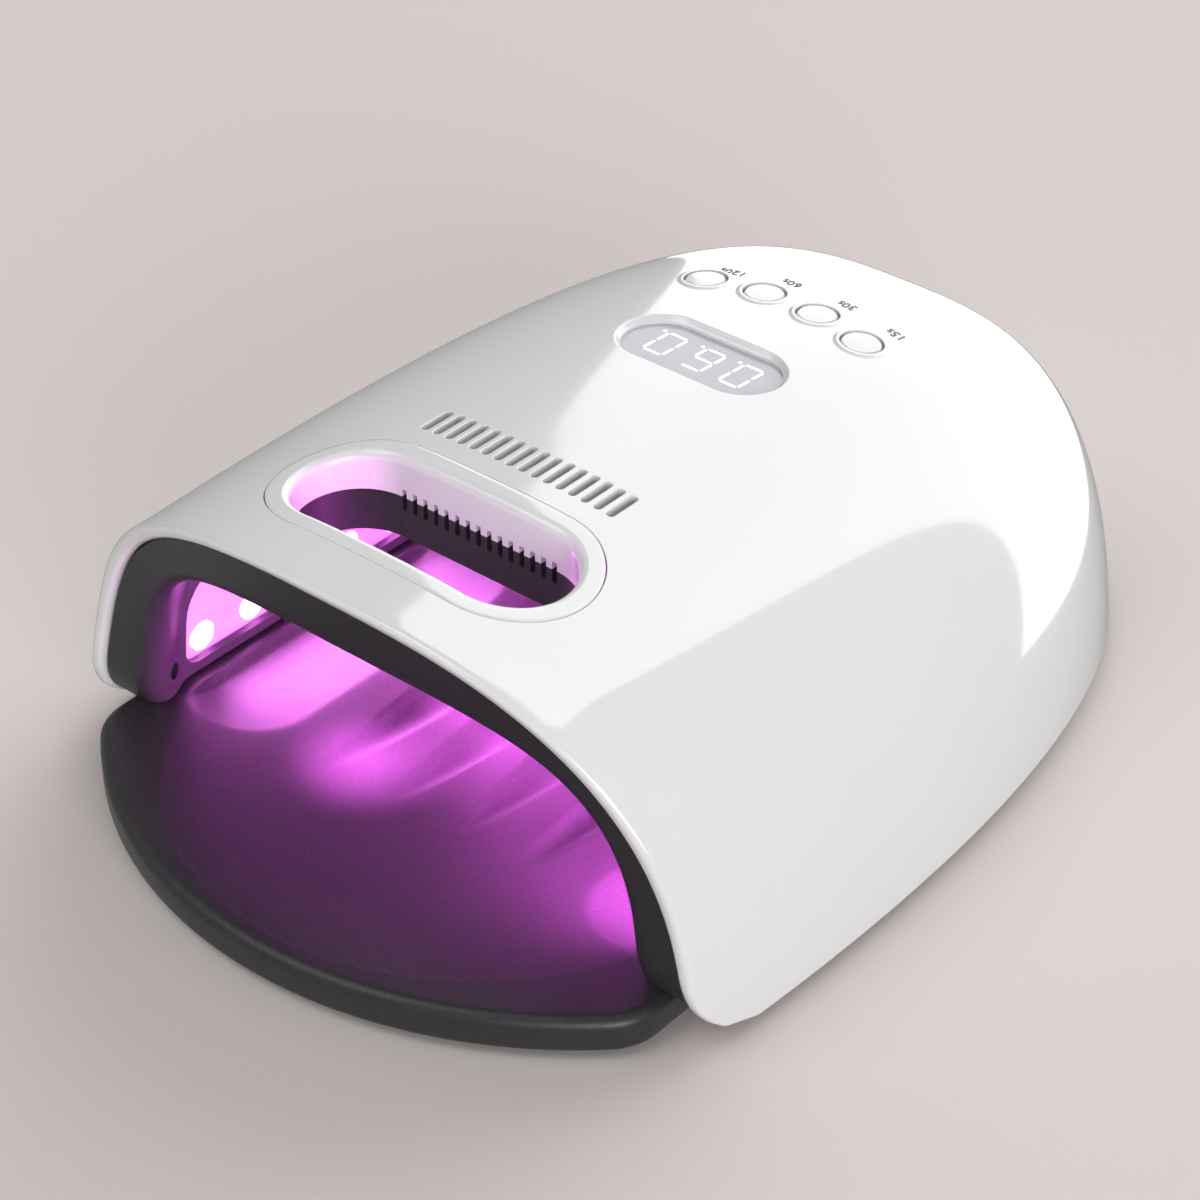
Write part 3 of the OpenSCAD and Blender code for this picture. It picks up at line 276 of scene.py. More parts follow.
class Form:
    """Points and faces of one piece, in millimetres from the front edge of the hood."""

    def __init__(self) -> None:
        """Starts with no points and no faces."""
        self.points: list[Array] = []
        self.faces: list[tuple[int, ...]] = []
        self.count = 0

    def add(self, points: Array) -> Array:
        """Adds an array of points.

        Args:
            points: rows of x, y and z in any arrangement.

        Returns:
            Their indices in the same arrangement.
        """
        points = np.asarray(points, float)
        self.points.append(points.reshape(-1, 3))
        indices = np.arange(self.count, self.count + points.size // 3)
        self.count += points.size // 3
        return indices.reshape(points.shape[:-1])

    def sheet(self, grid: Array, wrap_rows: bool = False, wrap_columns: bool = False) -> None:
        """Joins neighbouring indices of a grid with quads.

        Args:
            grid: rows of indices.
            wrap_rows: whether the last row is joined to the first.
            wrap_columns: whether the last column is joined to the first.
        """
        rows = len(grid) if wrap_rows else len(grid) - 1
        columns = grid.shape[1] if wrap_columns else grid.shape[1] - 1
        for i in range(rows):
            upper, lower = grid[i], grid[(i + 1) % len(grid)]
            for j in range(columns):
                k = (j + 1) % grid.shape[1]
                self.faces.append((int(upper[j]), int(upper[k]), int(lower[k]), int(lower[j])))

    def cap(self, ring: Sequence[int]) -> None:
        """Closes a ring of indices with one flat face."""
        self.faces.append(tuple(int(i) for i in ring))

    def loft(self, rings: Array, looped: bool = False) -> None:
        """Makes a closed solid through rings of points.

        Args:
            rings: the rings in order.
            looped: whether the solid comes back to its first ring, so that it has no ends.
        """
        grid = self.add(rings)
        self.sheet(grid, wrap_rows=looped, wrap_columns=True)
        if not looped:
            self.cap(grid[0])
            self.cap(grid[-1])

    def prism(self, outline: Array, levels: Sequence[Pair]) -> None:
        """Makes a solid over a plan outline.

        Args:
            outline: plan points as rows of x and y, with their outward normals in columns 3 and 4.
            levels: pairs of a height and how far the outline is grown there.
        """
        rings = []
        for height, grow in levels:
            plan = outline[:, :2] + outline[:, 2:4] * grow
            rings.append(np.column_stack([plan, np.full(len(plan), height)]))
        self.loft(np.array(rings))

    def lathe(self, profile: Sequence[Pair], place: "Place", steps: int = 48) -> None:
        """Makes a closed solid of revolution.

        Args:
            profile: pairs of a radius and a height.
            place: the spot whose upright axis it turns about.
            steps: corners of each ring.
        """
        turns = np.linspace(0, 2 * math.pi, steps, endpoint=False)
        rings = [
            place.put(np.column_stack([r * np.cos(turns), r * np.sin(turns), np.full(steps, h)]))
            for r, h in profile
        ]
        self.loft(np.array(rings))

    def mesh(self, name: str) -> bpy.types.Mesh:
        """The mesh in metres in the frame's own axes, with its normals outward.

        Args:
            name: the mesh's name.

        Returns:
            The mesh.
        """
        points = (np.concatenate(self.points) - [0, MID_Y, 0]) * MM
        made = bpy.data.meshes.new(name)
        made.from_pydata(points.tolist(), [], self.faces)
        work = bmesh.new()
        work.from_mesh(made)
        bmesh.ops.recalc_face_normals(work, faces=work.faces)
        work.to_mesh(made)
        work.free()
        return made

    def object(self, name: str) -> bpy.types.Object:
        """A linked object at the origin that shows the mesh.

        Args:
            name: the name of the object and of its mesh.

        Returns:
            The object.
        """
        made = bpy.data.objects.new(name, self.mesh(name))
        bpy.context.scene.collection.objects.link(made)
        return made


def prism_form(outline: Array, *levels: Pair) -> Form:
    """A form that holds one solid over a plan outline.

    Args:
        outline: plan points with their outward normals.
        levels: pairs of a height and how far the outline is grown there.

    Returns:
        The form.
    """
    form = Form()
    form.prism(outline, levels)
    return form


def join_forms(forms: Sequence[Form]) -> Form:
    """One form with the solids of several.

    Args:
        forms: forms that don't touch.

    Returns:
        The joined form.
    """
    made = Form()
    for form in forms:
        start = made.count
        made.add(np.concatenate(form.points))
        made.faces.extend(tuple(i + start for i in face) for face in form.faces)
    return made


@dataclass(frozen=True)
class Place:
    """A spot with its own axes, on which a small form is put."""

    at: Spot
    across: Spot = (1.0, 0.0, 0.0)
    up: Spot = (0.0, 0.0, 1.0)

    def put(self, points: Array) -> Array:
        """Moves points from the spot's own axes to the lamp's.

        Args:
            points: rows of x, y and z about the spot.

        Returns:
            The same points on the lamp.
        """
        up = np.array(self.up) / np.linalg.norm(self.up)
        across = np.array(self.across) - np.dot(self.across, up) * up
        across = across / np.linalg.norm(across)
        away = np.cross(up, across)
        return points[..., :1] * across + points[..., 1:2] * away + points[..., 2:] * up + np.array(self.at)


def capsule(centre: Pair, span: float, radius: float, steps: int = 24, turned: bool = False) -> Array:
    """Outline of a slot with round ends.

    Args:
        centre: its middle on the plan.
        span: distance between the centres of its ends.
        radius: radius of its ends.
        steps: steps round each end.
        turned: whether it runs along the lamp and not across it.

    Returns:
        Rows of x and y with their outward normals.
    """
    angles = np.radians(np.linspace(-90, 90, steps + 1))
    right = np.column_stack([span / 2 + radius * np.cos(angles), radius * np.sin(angles), np.cos(angles),
                             np.sin(angles)])
    bridge = np.linspace(1, 0, max(int(span / 2), 2) + 1)[1:-1] * 2 - 1
    top = np.column_stack([bridge * span / 2, np.full(len(bridge), radius), 0 * bridge, 0 * bridge + 1])
    half = np.concatenate([right, top])
    outline = np.concatenate([half, half * -1])
    if turned:
        outline = np.column_stack([-outline[:, 1], outline[:, 0], -outline[:, 3], outline[:, 2]])
    outline[:, 0] += centre[0]
    outline[:, 1] += centre[1]
    return outline


def rounded_box(low: Pair, high: Pair, radii: Sequence[float], steps: int = 10) -> Array:
    """Outline of a rectangle with rounded corners.

    Args:
        low: its corner with the least x and y.
        high: its opposite corner.
        radii: the four corner radii, from the low corner round.
        steps: steps round each corner.

    Returns:
        Rows of x and y with their outward normals.
    """
    corners = [(low[0], low[1], 1, 1, 180), (high[0], low[1], -1, 1, 270),
               (high[0], high[1], -1, -1, 0), (low[0], high[1], 1, -1, 90)]
    rows = []
    for (x, y, side_x, side_y, start), radius in zip(corners, radii):
        for angle in np.radians(np.linspace(start, start + 90, steps + 1)):
            rows.append((x + side_x * radius + radius * math.cos(angle),
                         y + side_y * radius + radius * math.sin(angle), math.cos(angle), math.sin(angle)))
    return np.array(rows)


def shell_form(outer: Array, inner: Array) -> Form:
    """A hollow moulding between two stacks of sections, closed at its rims and back.

    Args:
        outer: sections of the outer skin.
        inner: as many sections of the inner skin.

    Returns:
        The moulding as a closed form.
    """
    form = Form()
    skin, lining = form.add(outer), form.add(inner)
    form.sheet(skin)
    form.sheet(lining[:, ::-1])
    form.sheet(np.stack([lining[0], skin[0]]))
    form.sheet(np.stack([skin[:, 0], lining[:, 0]]))
    form.sheet(np.stack([lining[:, -1], skin[:, -1]]))
    form.cap([skin[-1, 0], skin[-1, -1], lining[-1, -1], lining[-1, 0]])
    form.cap(skin[-1])
    form.cap(lining[-1, ::-1])
    return form


def carve(target: bpy.types.Object, tools: Form) -> None:
    """Cuts a closed form out of an object's mesh.

    Args:
        target: the object.
        tools: the cutters, which don't touch each other.
    """
    cutter = tools.object("tools")
    step = target.modifiers.new("carve", "BOOLEAN")
    step.operation = "DIFFERENCE"
    step.solver = "MANIFOLD"
    step.object = cutter
    apply_modifiers(target)
    bpy.data.objects.remove(cutter)


def apply_modifiers(target: bpy.types.Object) -> None:
    """Gives the object the mesh that its modifiers make, and removes them.

    Args:
        target: the object.
    """
    graph = bpy.context.evaluated_depsgraph_get()
    made = bpy.data.meshes.new_from_object(target.evaluated_get(graph))
    target.modifiers.clear()
    target.data = made


def merge(target: bpy.types.Object, *others: bpy.types.Object) -> None:
    """Adds the meshes of other objects to the target's and removes them.

    Args:
        target: the object that is kept.
        others: the objects that go into it.
    """
    work = bmesh.new()
    work.from_mesh(target.data)
    for other in others:
        work.from_mesh(other.data)
        bpy.data.objects.remove(other)
    work.to_mesh(target.data)
    work.free()


def read_items(items: bpy.types.bpy_prop_collection, key: str, width: int, kind: type = float) -> Array:
    """One property of all the items of a mesh.

    Args:
        items: its faces, corners or points.
        key: the property's name.
        width: how many numbers each item has.
        kind: whether they are whole numbers.

    Returns:
        A row for each item.
    """
    values = np.empty(len(items) * width, kind)
    items.foreach_get(key, values)
    return values.reshape(-1, width)


# How far from 1 the level of a face on a shell may be, and how closely it has to face the shell's way
ON_SHELL = 0.05
FACING_SHELL = 0.985
# Exact normals start this far behind the front edge
EDGE_CLEARANCE = 3.0


def smooth(target: bpy.types.Object, angle: float, forms: Sequence[tuple[ShellForm, float]] = ()) -> None:
    """Shades a mesh smooth up to an angle, with exact normals on the shell surfaces that it keeps.

    Args:
        target: the object.
        angle: edges sharper than this, in degrees, stay sharp.
        forms: shells and insets whose own normals are used on the faces that lie on them.
    """
    mesh = target.data
    mesh.shade_smooth()
    mesh.set_sharp_from_angle(angle=math.radians(angle))
    if not forms:
        return
    centres = read_items(mesh.polygons, "center", 3) / MM + [0, MID_Y, 0]
    flat = read_items(mesh.polygons, "normal", 3)
    points = read_items(mesh.vertices, "co", 3) / MM + [0, MID_Y, 0]
    corner_point = read_items(mesh.loops, "vertex_index", 1, np.int64)[:, 0]
    sizes = read_items(mesh.polygons, "loop_total", 1, np.int64)[:, 0]
    corner_face = np.repeat(np.arange(len(sizes)), sizes)
    chosen = np.zeros((len(mesh.loops), 3))
    for form, inset in forms:
        exact = form.normals(centres, inset)
        facing = np.sum(exact * flat, axis=1)
        near = np.abs(form.level(centres, inset) - 1) < ON_SHELL
        behind = centres[:, 1] > form.lean(np.full(len(sizes), EDGE_CLEARANCE), centres[:, 2])
        use = (near & (np.abs(facing) > FACING_SHELL) & behind)[corner_face]
        side = np.sign(facing)[corner_face][use][:, None]
        chosen[use] = form.normals(points[corner_point[use]], inset) * side
    mesh.normals_split_custom_set(chosen.tolist())


# Node trees


class Sock:
    """A value in a node tree; arithmetic on it adds the nodes that work it out."""

    def __init__(self, owner: "Nodes", socket: bpy.types.NodeSocket) -> None:
        """Keeps a socket and the tree that it belongs to."""
        self.owner = owner
        self.socket = socket

    def step(self, operation: str, *others: "Sock | float") -> "Sock":
        """A Math node on this value and the others."""
        return self.owner.maths(operation, self, *others)

    def __add__(self, other: "Sock | float") -> "Sock":
        """This value plus another."""
        return self.owner.maths("ADD", self, other)

    def __radd__(self, other: float) -> "Sock":
        """A number plus this value."""
        return self.owner.maths("ADD", other, self)

    def __sub__(self, other: "Sock | float") -> "Sock":
        """This value less another."""
        return self.owner.maths("SUBTRACT", self, other)

    def __rsub__(self, other: float) -> "Sock":
        """A number less this value."""
        return self.owner.maths("SUBTRACT", other, self)

    def __mul__(self, other: "Sock | float") -> "Sock":
        """This value times another."""
        return self.owner.maths("MULTIPLY", self, other)

    def __rmul__(self, other: float) -> "Sock":
        """A number times this value."""
        return self.owner.maths("MULTIPLY", other, self)

    def __truediv__(self, other: "Sock | float") -> "Sock":
        """This value divided by another."""
        return self.owner.maths("DIVIDE", self, other)

    def __rtruediv__(self, other: float) -> "Sock":
        """A number divided by this value."""
        return self.owner.maths("DIVIDE", other, self)

    def ramp(self, low: float, high: float) -> "Sock":
        """A smooth step of this value from low to high, as 0 to 1."""
        return self.owner.node("ShaderNodeMapRange", "Result", {"interpolation_type": "SMOOTHSTEP"},
                               value=self, from_min=low, from_max=high, to_min=0.0, to_max=1.0)


class Nodes:
    """A node tree while it is being laid out."""

    def __init__(self, tree: bpy.types.NodeTree) -> None:
        """Keeps the tree."""
        self.tree = tree

    def feed(self, value: "Sock | float | tuple", socket: bpy.types.NodeSocket) -> None:
        """Fills an input.

        Args:
            value: the value that is linked to it, or the constant that it is set to.
            socket: the input.
        """
        if isinstance(value, Sock):
            self.tree.links.new(value.socket, socket)
        else:
            socket.default_value = value

    def maths(self, operation: str, *values: "Sock | float") -> Sock:
        """Adds a Math node.

        Args:
            operation: what it does.
            values: its values in order.

        Returns:
            Its result.
        """
        made = self.tree.nodes.new("ShaderNodeMath")
        made.operation = operation
        for value, socket in zip(values, made.inputs):
            self.feed(value, socket)
        return Sock(self, made.outputs[0])

    def node(self, kind: str, output: str, settings: Optional[dict] = None,
             **inputs: "Sock | float | tuple | list") -> Sock:
        """Adds a node of any other kind.

        Args:
            kind: its type.
            output: the name of the output that is wanted.
            settings: its own choices, which are set first.
            inputs: values or links by the names of its inputs in lower case; several links may go to
                one input as a list.

        Returns:
            The output.
        """
        made = self.tree.nodes.new(kind)
        for key, value in (settings or {}).items():
            setattr(made, key, value)
        names = {socket.name.lower().replace(" ", "_"): socket for socket in made.inputs if socket.enabled}
        for key, value in inputs.items():
            for one in value if isinstance(value, list) else [value]:
                self.feed(one, names[key])
        return Sock(self, next(o for o in made.outputs if o.name == output and o.enabled))


class Paint(Nodes):
    """One material while its nodes are being laid out."""

    def __init__(self, name: str) -> None:
        """Starts a material with a surface shader and the object's own coordinates.

        Args:
            name: the material's name.
        """
        self.material = bpy.data.materials.new(name)
        self.material.use_nodes = True
        super().__init__(self.material.node_tree)
        self.shader = next(n for n in self.tree.nodes if n.type == "BSDF_PRINCIPLED")
        self.where = self.node("ShaderNodeTexCoord", "Object")

    def noise(self, size: float, detail: float = 2.0, stretch: Optional[Spot] = None) -> Sock:
        """Noise from 0 to 1.

        Args:
            size: how large its features are, in millimetres.
            detail: how many finer layers it has.
            stretch: scales of the three coordinates.

        Returns:
            The noise.
        """
        place = self.where
        if stretch:
            place = self.node("ShaderNodeMapping", "Vector", vector=place, scale=stretch)
        return self.node("ShaderNodeTexNoise", "Fac", vector=place, scale=1 / (size * MM), detail=detail)

    def mix(self, factor: Sock, first: "Sock | tuple", second: "Sock | tuple") -> Sock:
        """A colour between two others."""
        return self.node("ShaderNodeMix", "Result", {"data_type": "RGBA"}, factor=factor, a=first, b=second)

    def axis(self, name: str) -> Sock:
        """The coordinate X, Y or Z, in millimetres from the hood's front edge."""
        value = self.node("ShaderNodeSeparateXYZ", name, vector=self.where) * (1 / MM)
        return value + MID_Y if name == "Y" else value

    def relief(self, height: Sock, depth: float) -> None:
        """Raises the surface by a height from 0 to 1 times a depth in millimetres."""
        self.put("Normal", self.node("ShaderNodeBump", "Normal", height=height, distance=depth * MM,
                                     strength=1.0))

    def put(self, name: str, value: "Sock | float | tuple") -> None:
        """Sets or links an input of the surface shader."""
        self.feed(value, self.shader.inputs[name])


# Finishes


def linear(colour: Colour) -> tuple[float, float, float, float]:
    """A scene colour from a screen colour, by the screen's standard curve.

    Args:
        colour: red, green and blue between 0 and 255.

    Returns:
        The linear red, green and blue, and a full alpha.
    """
    parts = [c / 255 for c in colour]
    made = [c / 12.92 if c <= 0.04045 else ((c + 0.055) / 1.055) ** 2.4 for c in parts]
    return (made[0], made[1], made[2], 1.0)


@dataclass(frozen=True)
class Finish:
    """A moulded, painted or plated surface.

    The colour drifts to the shade over mottle millimetres, and the grain is a fine relief. A spark
    above 0 adds small pale flecks.
    """

    name: str
    colour: Colour
    shade: Colour
    roughness: float
    spread: float = 0.05
    mottle: float = 18.0
    grain: float = 0.5
    depth: float = 0.01
    metallic: float = 0.0
    coat: float = 0.0
    spark: float = 0.0

    COAT_ROUGHNESS = 0.05
    FLECK_SIZE = 0.32
    FLECK_LEAST = 0.90
    FLECK_COLOUR = (190, 188, 192)

    def material(self) -> bpy.types.Material:
        """Lays the finish out.

        Returns:
            The material.
        """
        paint = Paint(self.name)
        drift = paint.noise(self.mottle, 3.0)
        grain = paint.noise(self.grain, 2.0)
        body = paint.mix(drift, linear(self.colour), linear(self.shade))
        if self.spark:
            cells = paint.node("ShaderNodeTexVoronoi", "Color", vector=paint.where,
                               scale=1 / (self.FLECK_SIZE * MM))
            chosen = paint.node("ShaderNodeSeparateColor", "Red", color=cells).ramp(self.FLECK_LEAST, 1.0)
            body = paint.mix(chosen * self.spark, body, linear(self.FLECK_COLOUR))
        paint.put("Base Color", body)
        paint.put("Roughness", drift * self.spread + grain * self.spread + (self.roughness - self.spread))
        paint.put("Metallic", self.metallic)
        paint.put("Coat Weight", self.coat)
        paint.put("Coat Roughness", self.COAT_ROUGHNESS)
        paint.relief(grain, self.depth)
        return paint.material


@dataclass(frozen=True)
class CircuitBoard:
    """Green circuit board with lighter tracks and small pads."""

    name: str = "circuit_board"
    mask: Colour = (22, 92, 52)
    track: Colour = (44, 128, 76)
    pad: Colour = (196, 176, 110)
    track_scale: float = 160.0
    track_width: float = 0.012
    pad_scale: float = 330.0
    pad_edge: Pair = (0.18, 0.12)
    roughness: float = 0.45
    pad_gloss: float = 0.2
    depth: float = 0.03

    def material(self) -> bpy.types.Material:
        """Lays the finish out.

        Returns:
            The material.
        """
        paint = Paint(self.name)
        tracks = paint.node("ShaderNodeTexBrick", "Fac", vector=paint.where, scale=self.track_scale,
                            mortar_size=self.track_width)
        cells = paint.node("ShaderNodeTexVoronoi", "Distance", vector=paint.where, scale=self.pad_scale)
        pads = cells.ramp(*self.pad_edge)
        base = paint.mix(tracks, linear(self.mask), linear(self.track))
        paint.put("Base Color", paint.mix(pads, base, linear(self.pad)))
        paint.put("Roughness", pads * -self.pad_gloss + self.roughness)
        paint.relief(tracks + pads, self.depth)
        return paint.material


@dataclass(frozen=True)
class PaintedGlowReflector:
    """Bright plated sheet with the light of the LEDs painted on it as a pink glow, brightest along the row
    of LEDs.
    """

    name: str = "reflector"
    colour: Colour = (236, 214, 240)
    shade: Colour = (222, 196, 230)
    metallic: float = 0.6
    roughness: float = 0.26
    brushing: Spot = (1.0, 0.08, 1.0)
    # Where the LEDs sit and how far from their row the painted glow reaches, then the painted glow's colours
    # far and close and its strength
    first_led: float = 27.3
    led_pitch: float = 18.5
    row_z: float = 22.0
    reach: float = 34.0
    far: Colour = (176, 30, 190)
    close: Colour = (255, 128, 255)
    glow: float = 0.68

    def material(self) -> bpy.types.Material:
        """Lays the finish out.

        Returns:
            The material.
        """
        paint = Paint(self.name)
        brushed = paint.noise(0.8, 2.0, self.brushing)
        drift = paint.noise(9.0, 2.0)
        paint.put("Base Color", paint.mix(drift, linear(self.colour), linear(self.shade)))
        paint.put("Metallic", self.metallic)
        paint.put("Roughness", brushed * 0.12 + self.roughness)
        # Painted LED light: a pink glow that is strongest near the row of LEDs and swells a little beside
        # each LED
        turns = (paint.axis("Y") - self.first_led) / self.led_pitch
        painted_led_pools = (turns * math.tau).step("COSINE")
        row = (paint.axis("Z") - self.row_z).step("ABSOLUTE").ramp(self.reach, 0.0)
        share = row * (painted_led_pools * 0.10 + 0.85)
        paint.put("Emission Color", paint.mix(share, linear(self.far), linear(self.close)))
        paint.put("Emission Strength", self.glow)
        paint.relief(brushed, 0.01)
        return paint.material


@dataclass(frozen=True)
class Lens:
    """LED lens, lit from inside: white over the chip and pink toward its rim."""

    name: str = "led_lens"
    middle: Colour = (255, 158, 255)
    rim: Colour = (255, 120, 255)
    blend: float = 0.35
    roughness: float = 0.15
    glow: float = 7.0

    def material(self) -> bpy.types.Material:
        """Lays the finish out.

        Returns:
            The material.
        """
        paint = Paint(self.name)
        facing = paint.node("ShaderNodeLayerWeight", "Facing", blend=self.blend)
        fine = paint.noise(1.2, 2.0)
        tint = paint.mix(facing + fine * 0.1, linear(self.middle), linear(self.rim))
        paint.put("Base Color", tint)
        paint.put("Roughness", fine * 0.1 + self.roughness)
        paint.put("Emission Color", tint)
        paint.put("Emission Strength", self.glow)
        return paint.material


@dataclass(frozen=True)
class Cloudy:
    """A surface whose colour drifts over a cloud and whose gloss follows a fine grain.

    It may have a clear coat and a relief that follows the grain.
    """

    name: str
    colour: Colour
    shade: Colour
    cloud: Pair
    grain: Pair
    roughness: float
    spread: float
    coat: float = 0.0
    depth: float = 0.0

    def material(self) -> bpy.types.Material:
        """Lays the finish out.

        Returns:
            The material.
        """
        paint = Paint(self.name)
        cloud = paint.noise(*self.cloud)
        grain = cloud if self.grain == self.cloud else paint.noise(*self.grain)
        paint.put("Base Color", paint.mix(cloud, linear(self.colour), linear(self.shade)))
        paint.put("Roughness", grain * self.spread + self.roughness)
        paint.put("Coat Weight", self.coat)
        if self.depth:
            paint.relief(grain, self.depth)
        return paint.material


@dataclass(frozen=True)
class Segments:
    """Lit display segments, a little softer toward their ends."""

    name: str = "lit_segments"
    base: Colour = (250, 250, 252)
    bright: Colour = (255, 255, 255)
    soft: Colour = (244, 244, 252)
    glow: float = 0.9
    roughness: float = 0.3

    def material(self) -> bpy.types.Material:
        """Lays the finish out.

        Returns:
            The material.
        """
        paint = Paint(self.name)
        haze = paint.noise(1.0, 1.0)
        paint.put("Base Color", linear(self.base))
        paint.put("Emission Color", paint.mix(haze, linear(self.bright), linear(self.soft)))
        paint.put("Emission Strength", self.glow)
        paint.put("Roughness", haze * 0.1 + self.roughness)
        return paint.material


class Look(Enum):
    """The finishes of the lamp, by the record's material slots.

    A plain finish gives its name, colour, shade, roughness, spread, mottle, grain and depth in order.
    """

    SHELL = Finish("white_shell", (233, 233, 234), (230, 230, 232), 0.12, 0.02, 40, 1.4, 0.002, coat=1.0)
    TRIM = Finish("white_trim", (235, 235, 236), (231, 231, 233), 0.14, 0.02, 20, 1.2, 0.002, coat=0.8)
    BUTTON = Finish("button_white", (238, 238, 239), (235, 235, 236), 0.18, 0.03, 6, 0.8, 0.002, coat=0.5)
    LINER = Finish("liner_plastic", (50, 48, 51), (44, 43, 46), 0.42, 0.06, 25, 0.35, 0.02, spark=0.05)
    PLATE = Finish("plate_plastic", (47, 46, 48), (41, 40, 43), 0.38, 0.06, 25, 0.35, 0.05, spark=0.05)
    COVER = Finish("cover_plastic", (46, 46, 48), (40, 40, 43), 0.50, 0.06, 20, 0.6, 0.03)
    BLACK = Finish("black_parts", (26, 26, 28), (20, 20, 22), 0.35, 0.08, 8, 0.6, 0.01)
    STEEL = Finish("steel", (190, 190, 192), (165, 165, 170), 0.30, 0.10, 3, 0.3, 0.004, metallic=1.0)
    MAGNET = Finish("magnet", (200, 198, 192), (178, 176, 172), 0.28, 0.08, 2, 0.3, 0.004, metallic=1.0)
    WRAP = Finish("cell_wrap", (62, 104, 150), (48, 88, 134), 0.32, 0.06, 12, 1.0, 0.01, coat=0.3)
    RUBBER = Finish("foot_rubber", (36, 36, 37), (28, 28, 29), 0.72, 0.08, 3, 0.25, 0.04)
    ROCKER = Finish("rocker_plastic", (30, 30, 32), (24, 24, 26), 0.26, 0.05, 6, 0.6, 0.006)
    BOARD = CircuitBoard()
    # The reflector, with the light of the LEDs painted on it as a glow
    REFLECTOR = PaintedGlowReflector()
    LENS = Lens()
    # The dark violet lens of the hand sensor, the milky window and the printed ink
    SENSOR = Cloudy("sensor", (92, 30, 96), (52, 16, 60), (1.5, 2.0), (1.5, 2.0), 0.08, 0.06, coat=0.6)
    PANEL = Cloudy("display_panel", (198, 197, 205), (193, 191, 201), (12.0, 2.0), (0.9, 1.0), 0.12, 0.04,
                   coat=0.3, depth=0.002)
    INK = Cloudy("label_ink", (84, 84, 88), (104, 104, 108), (0.4, 3.0), (0.4, 3.0), 0.45, 0.2)
    SEGMENTS = Segments()


# Mouldings of the hood

# How strongly a shell's sections are drawn together toward its back
BACK_CROWDING = 2.2
# How far the cutters of the crown reach above it
CUTTER_CLEARANCE = 4.0


def rows(form: ShellForm, start: float, inset: float, foot_z: float, count: int,
         steps: tuple[int, int]) -> list[Array]:
    """Sections from a start length to the flat patch at the back, closer together toward it.

    Args:
        form: the shell.
        start: the length that they follow on.
        inset: how far they are drawn in.
        foot_z: height at which their rims end.
        count: how many sections there are.
        steps: steps from the crown to a shoulder and on to a rim.

    Returns:
        The sections in order.
    """
    end = form.length_at(inset, foot_z + BACK_PATCH)
    shares = 1 - (1 - np.arange(1, count + 1) / count) ** BACK_CROWDING
    return [form.section(start + (end - start) * s, inset, foot_z, *steps) for s in shares]


def crown_z(x: Array, y: Array) -> Array:
    """Height of the hood's outer surface over a point of the plan."""
    return HOOD.surface_z(x, y)


def crown_place(x: float, y: float) -> Place:
    """A place on the crown that looks out along its normal.

    Args:
        x: distance across, from the middle.
        y: length from the front edge.

    Returns:
        The place.
    """
    point = np.array([x, y, float(crown_z(np.array(x), np.array(y)))])
    normal = HOOD.normals(point[None])[0]
    return Place(tuple(point), (1, 0, 0), tuple(normal))


def crown_tool(outline: Array, low: Sequence[Pair], lip: Sequence[Pair]) -> Form:
    """A cutter for an opening in the crown.

    Args:
        outline: plan outline with normals.
        low: heights above the table and growths of the lower rings.
        lip: drops below the crown and growths of the upper rings.

    Returns:
        The cutter as a closed form.
    """
    rings = []
    for height, grow in low:
        plan = outline[:, :2] + outline[:, 2:4] * grow
        rings.append(np.column_stack([plan, np.full(len(plan), height)]))
    for drop, grow in lip:
        plan = outline[:, :2] + outline[:, 2:4] * grow
        rings.append(np.column_stack([plan, crown_z(plan[:, 0], plan[:, 1]) - drop]))
    rings.append(np.column_stack([plan, np.full(len(plan), HOOD.HEIGHT + CUTTER_CLEARANCE)]))
    form = Form()
    form.loft(np.array(rings))
    return form


# Places of the buttons, the carrying slot and the display on the plan
BUTTONS = {"120s": (-26.0, 162.0), "60s": (-8.8, 165.6), "30s": (8.8, 165.6), "15s": (26.0, 162.0)}
SLOT_AT = (0.0, 25.5)
SLOT_SPAN = 50.0
SLOT_R = 16.0
DISPLAY_AT = (0.0, 127.5)
DISPLAY_SPAN = 26.0
DISPLAY_R = 10.8
# How far the display window lies below the crown, and its height
DISPLAY_DROP = 2.7
DISPLAY_Z = float(HOOD.crown_z(np.array(DISPLAY_AT[1]))) - DISPLAY_DROP


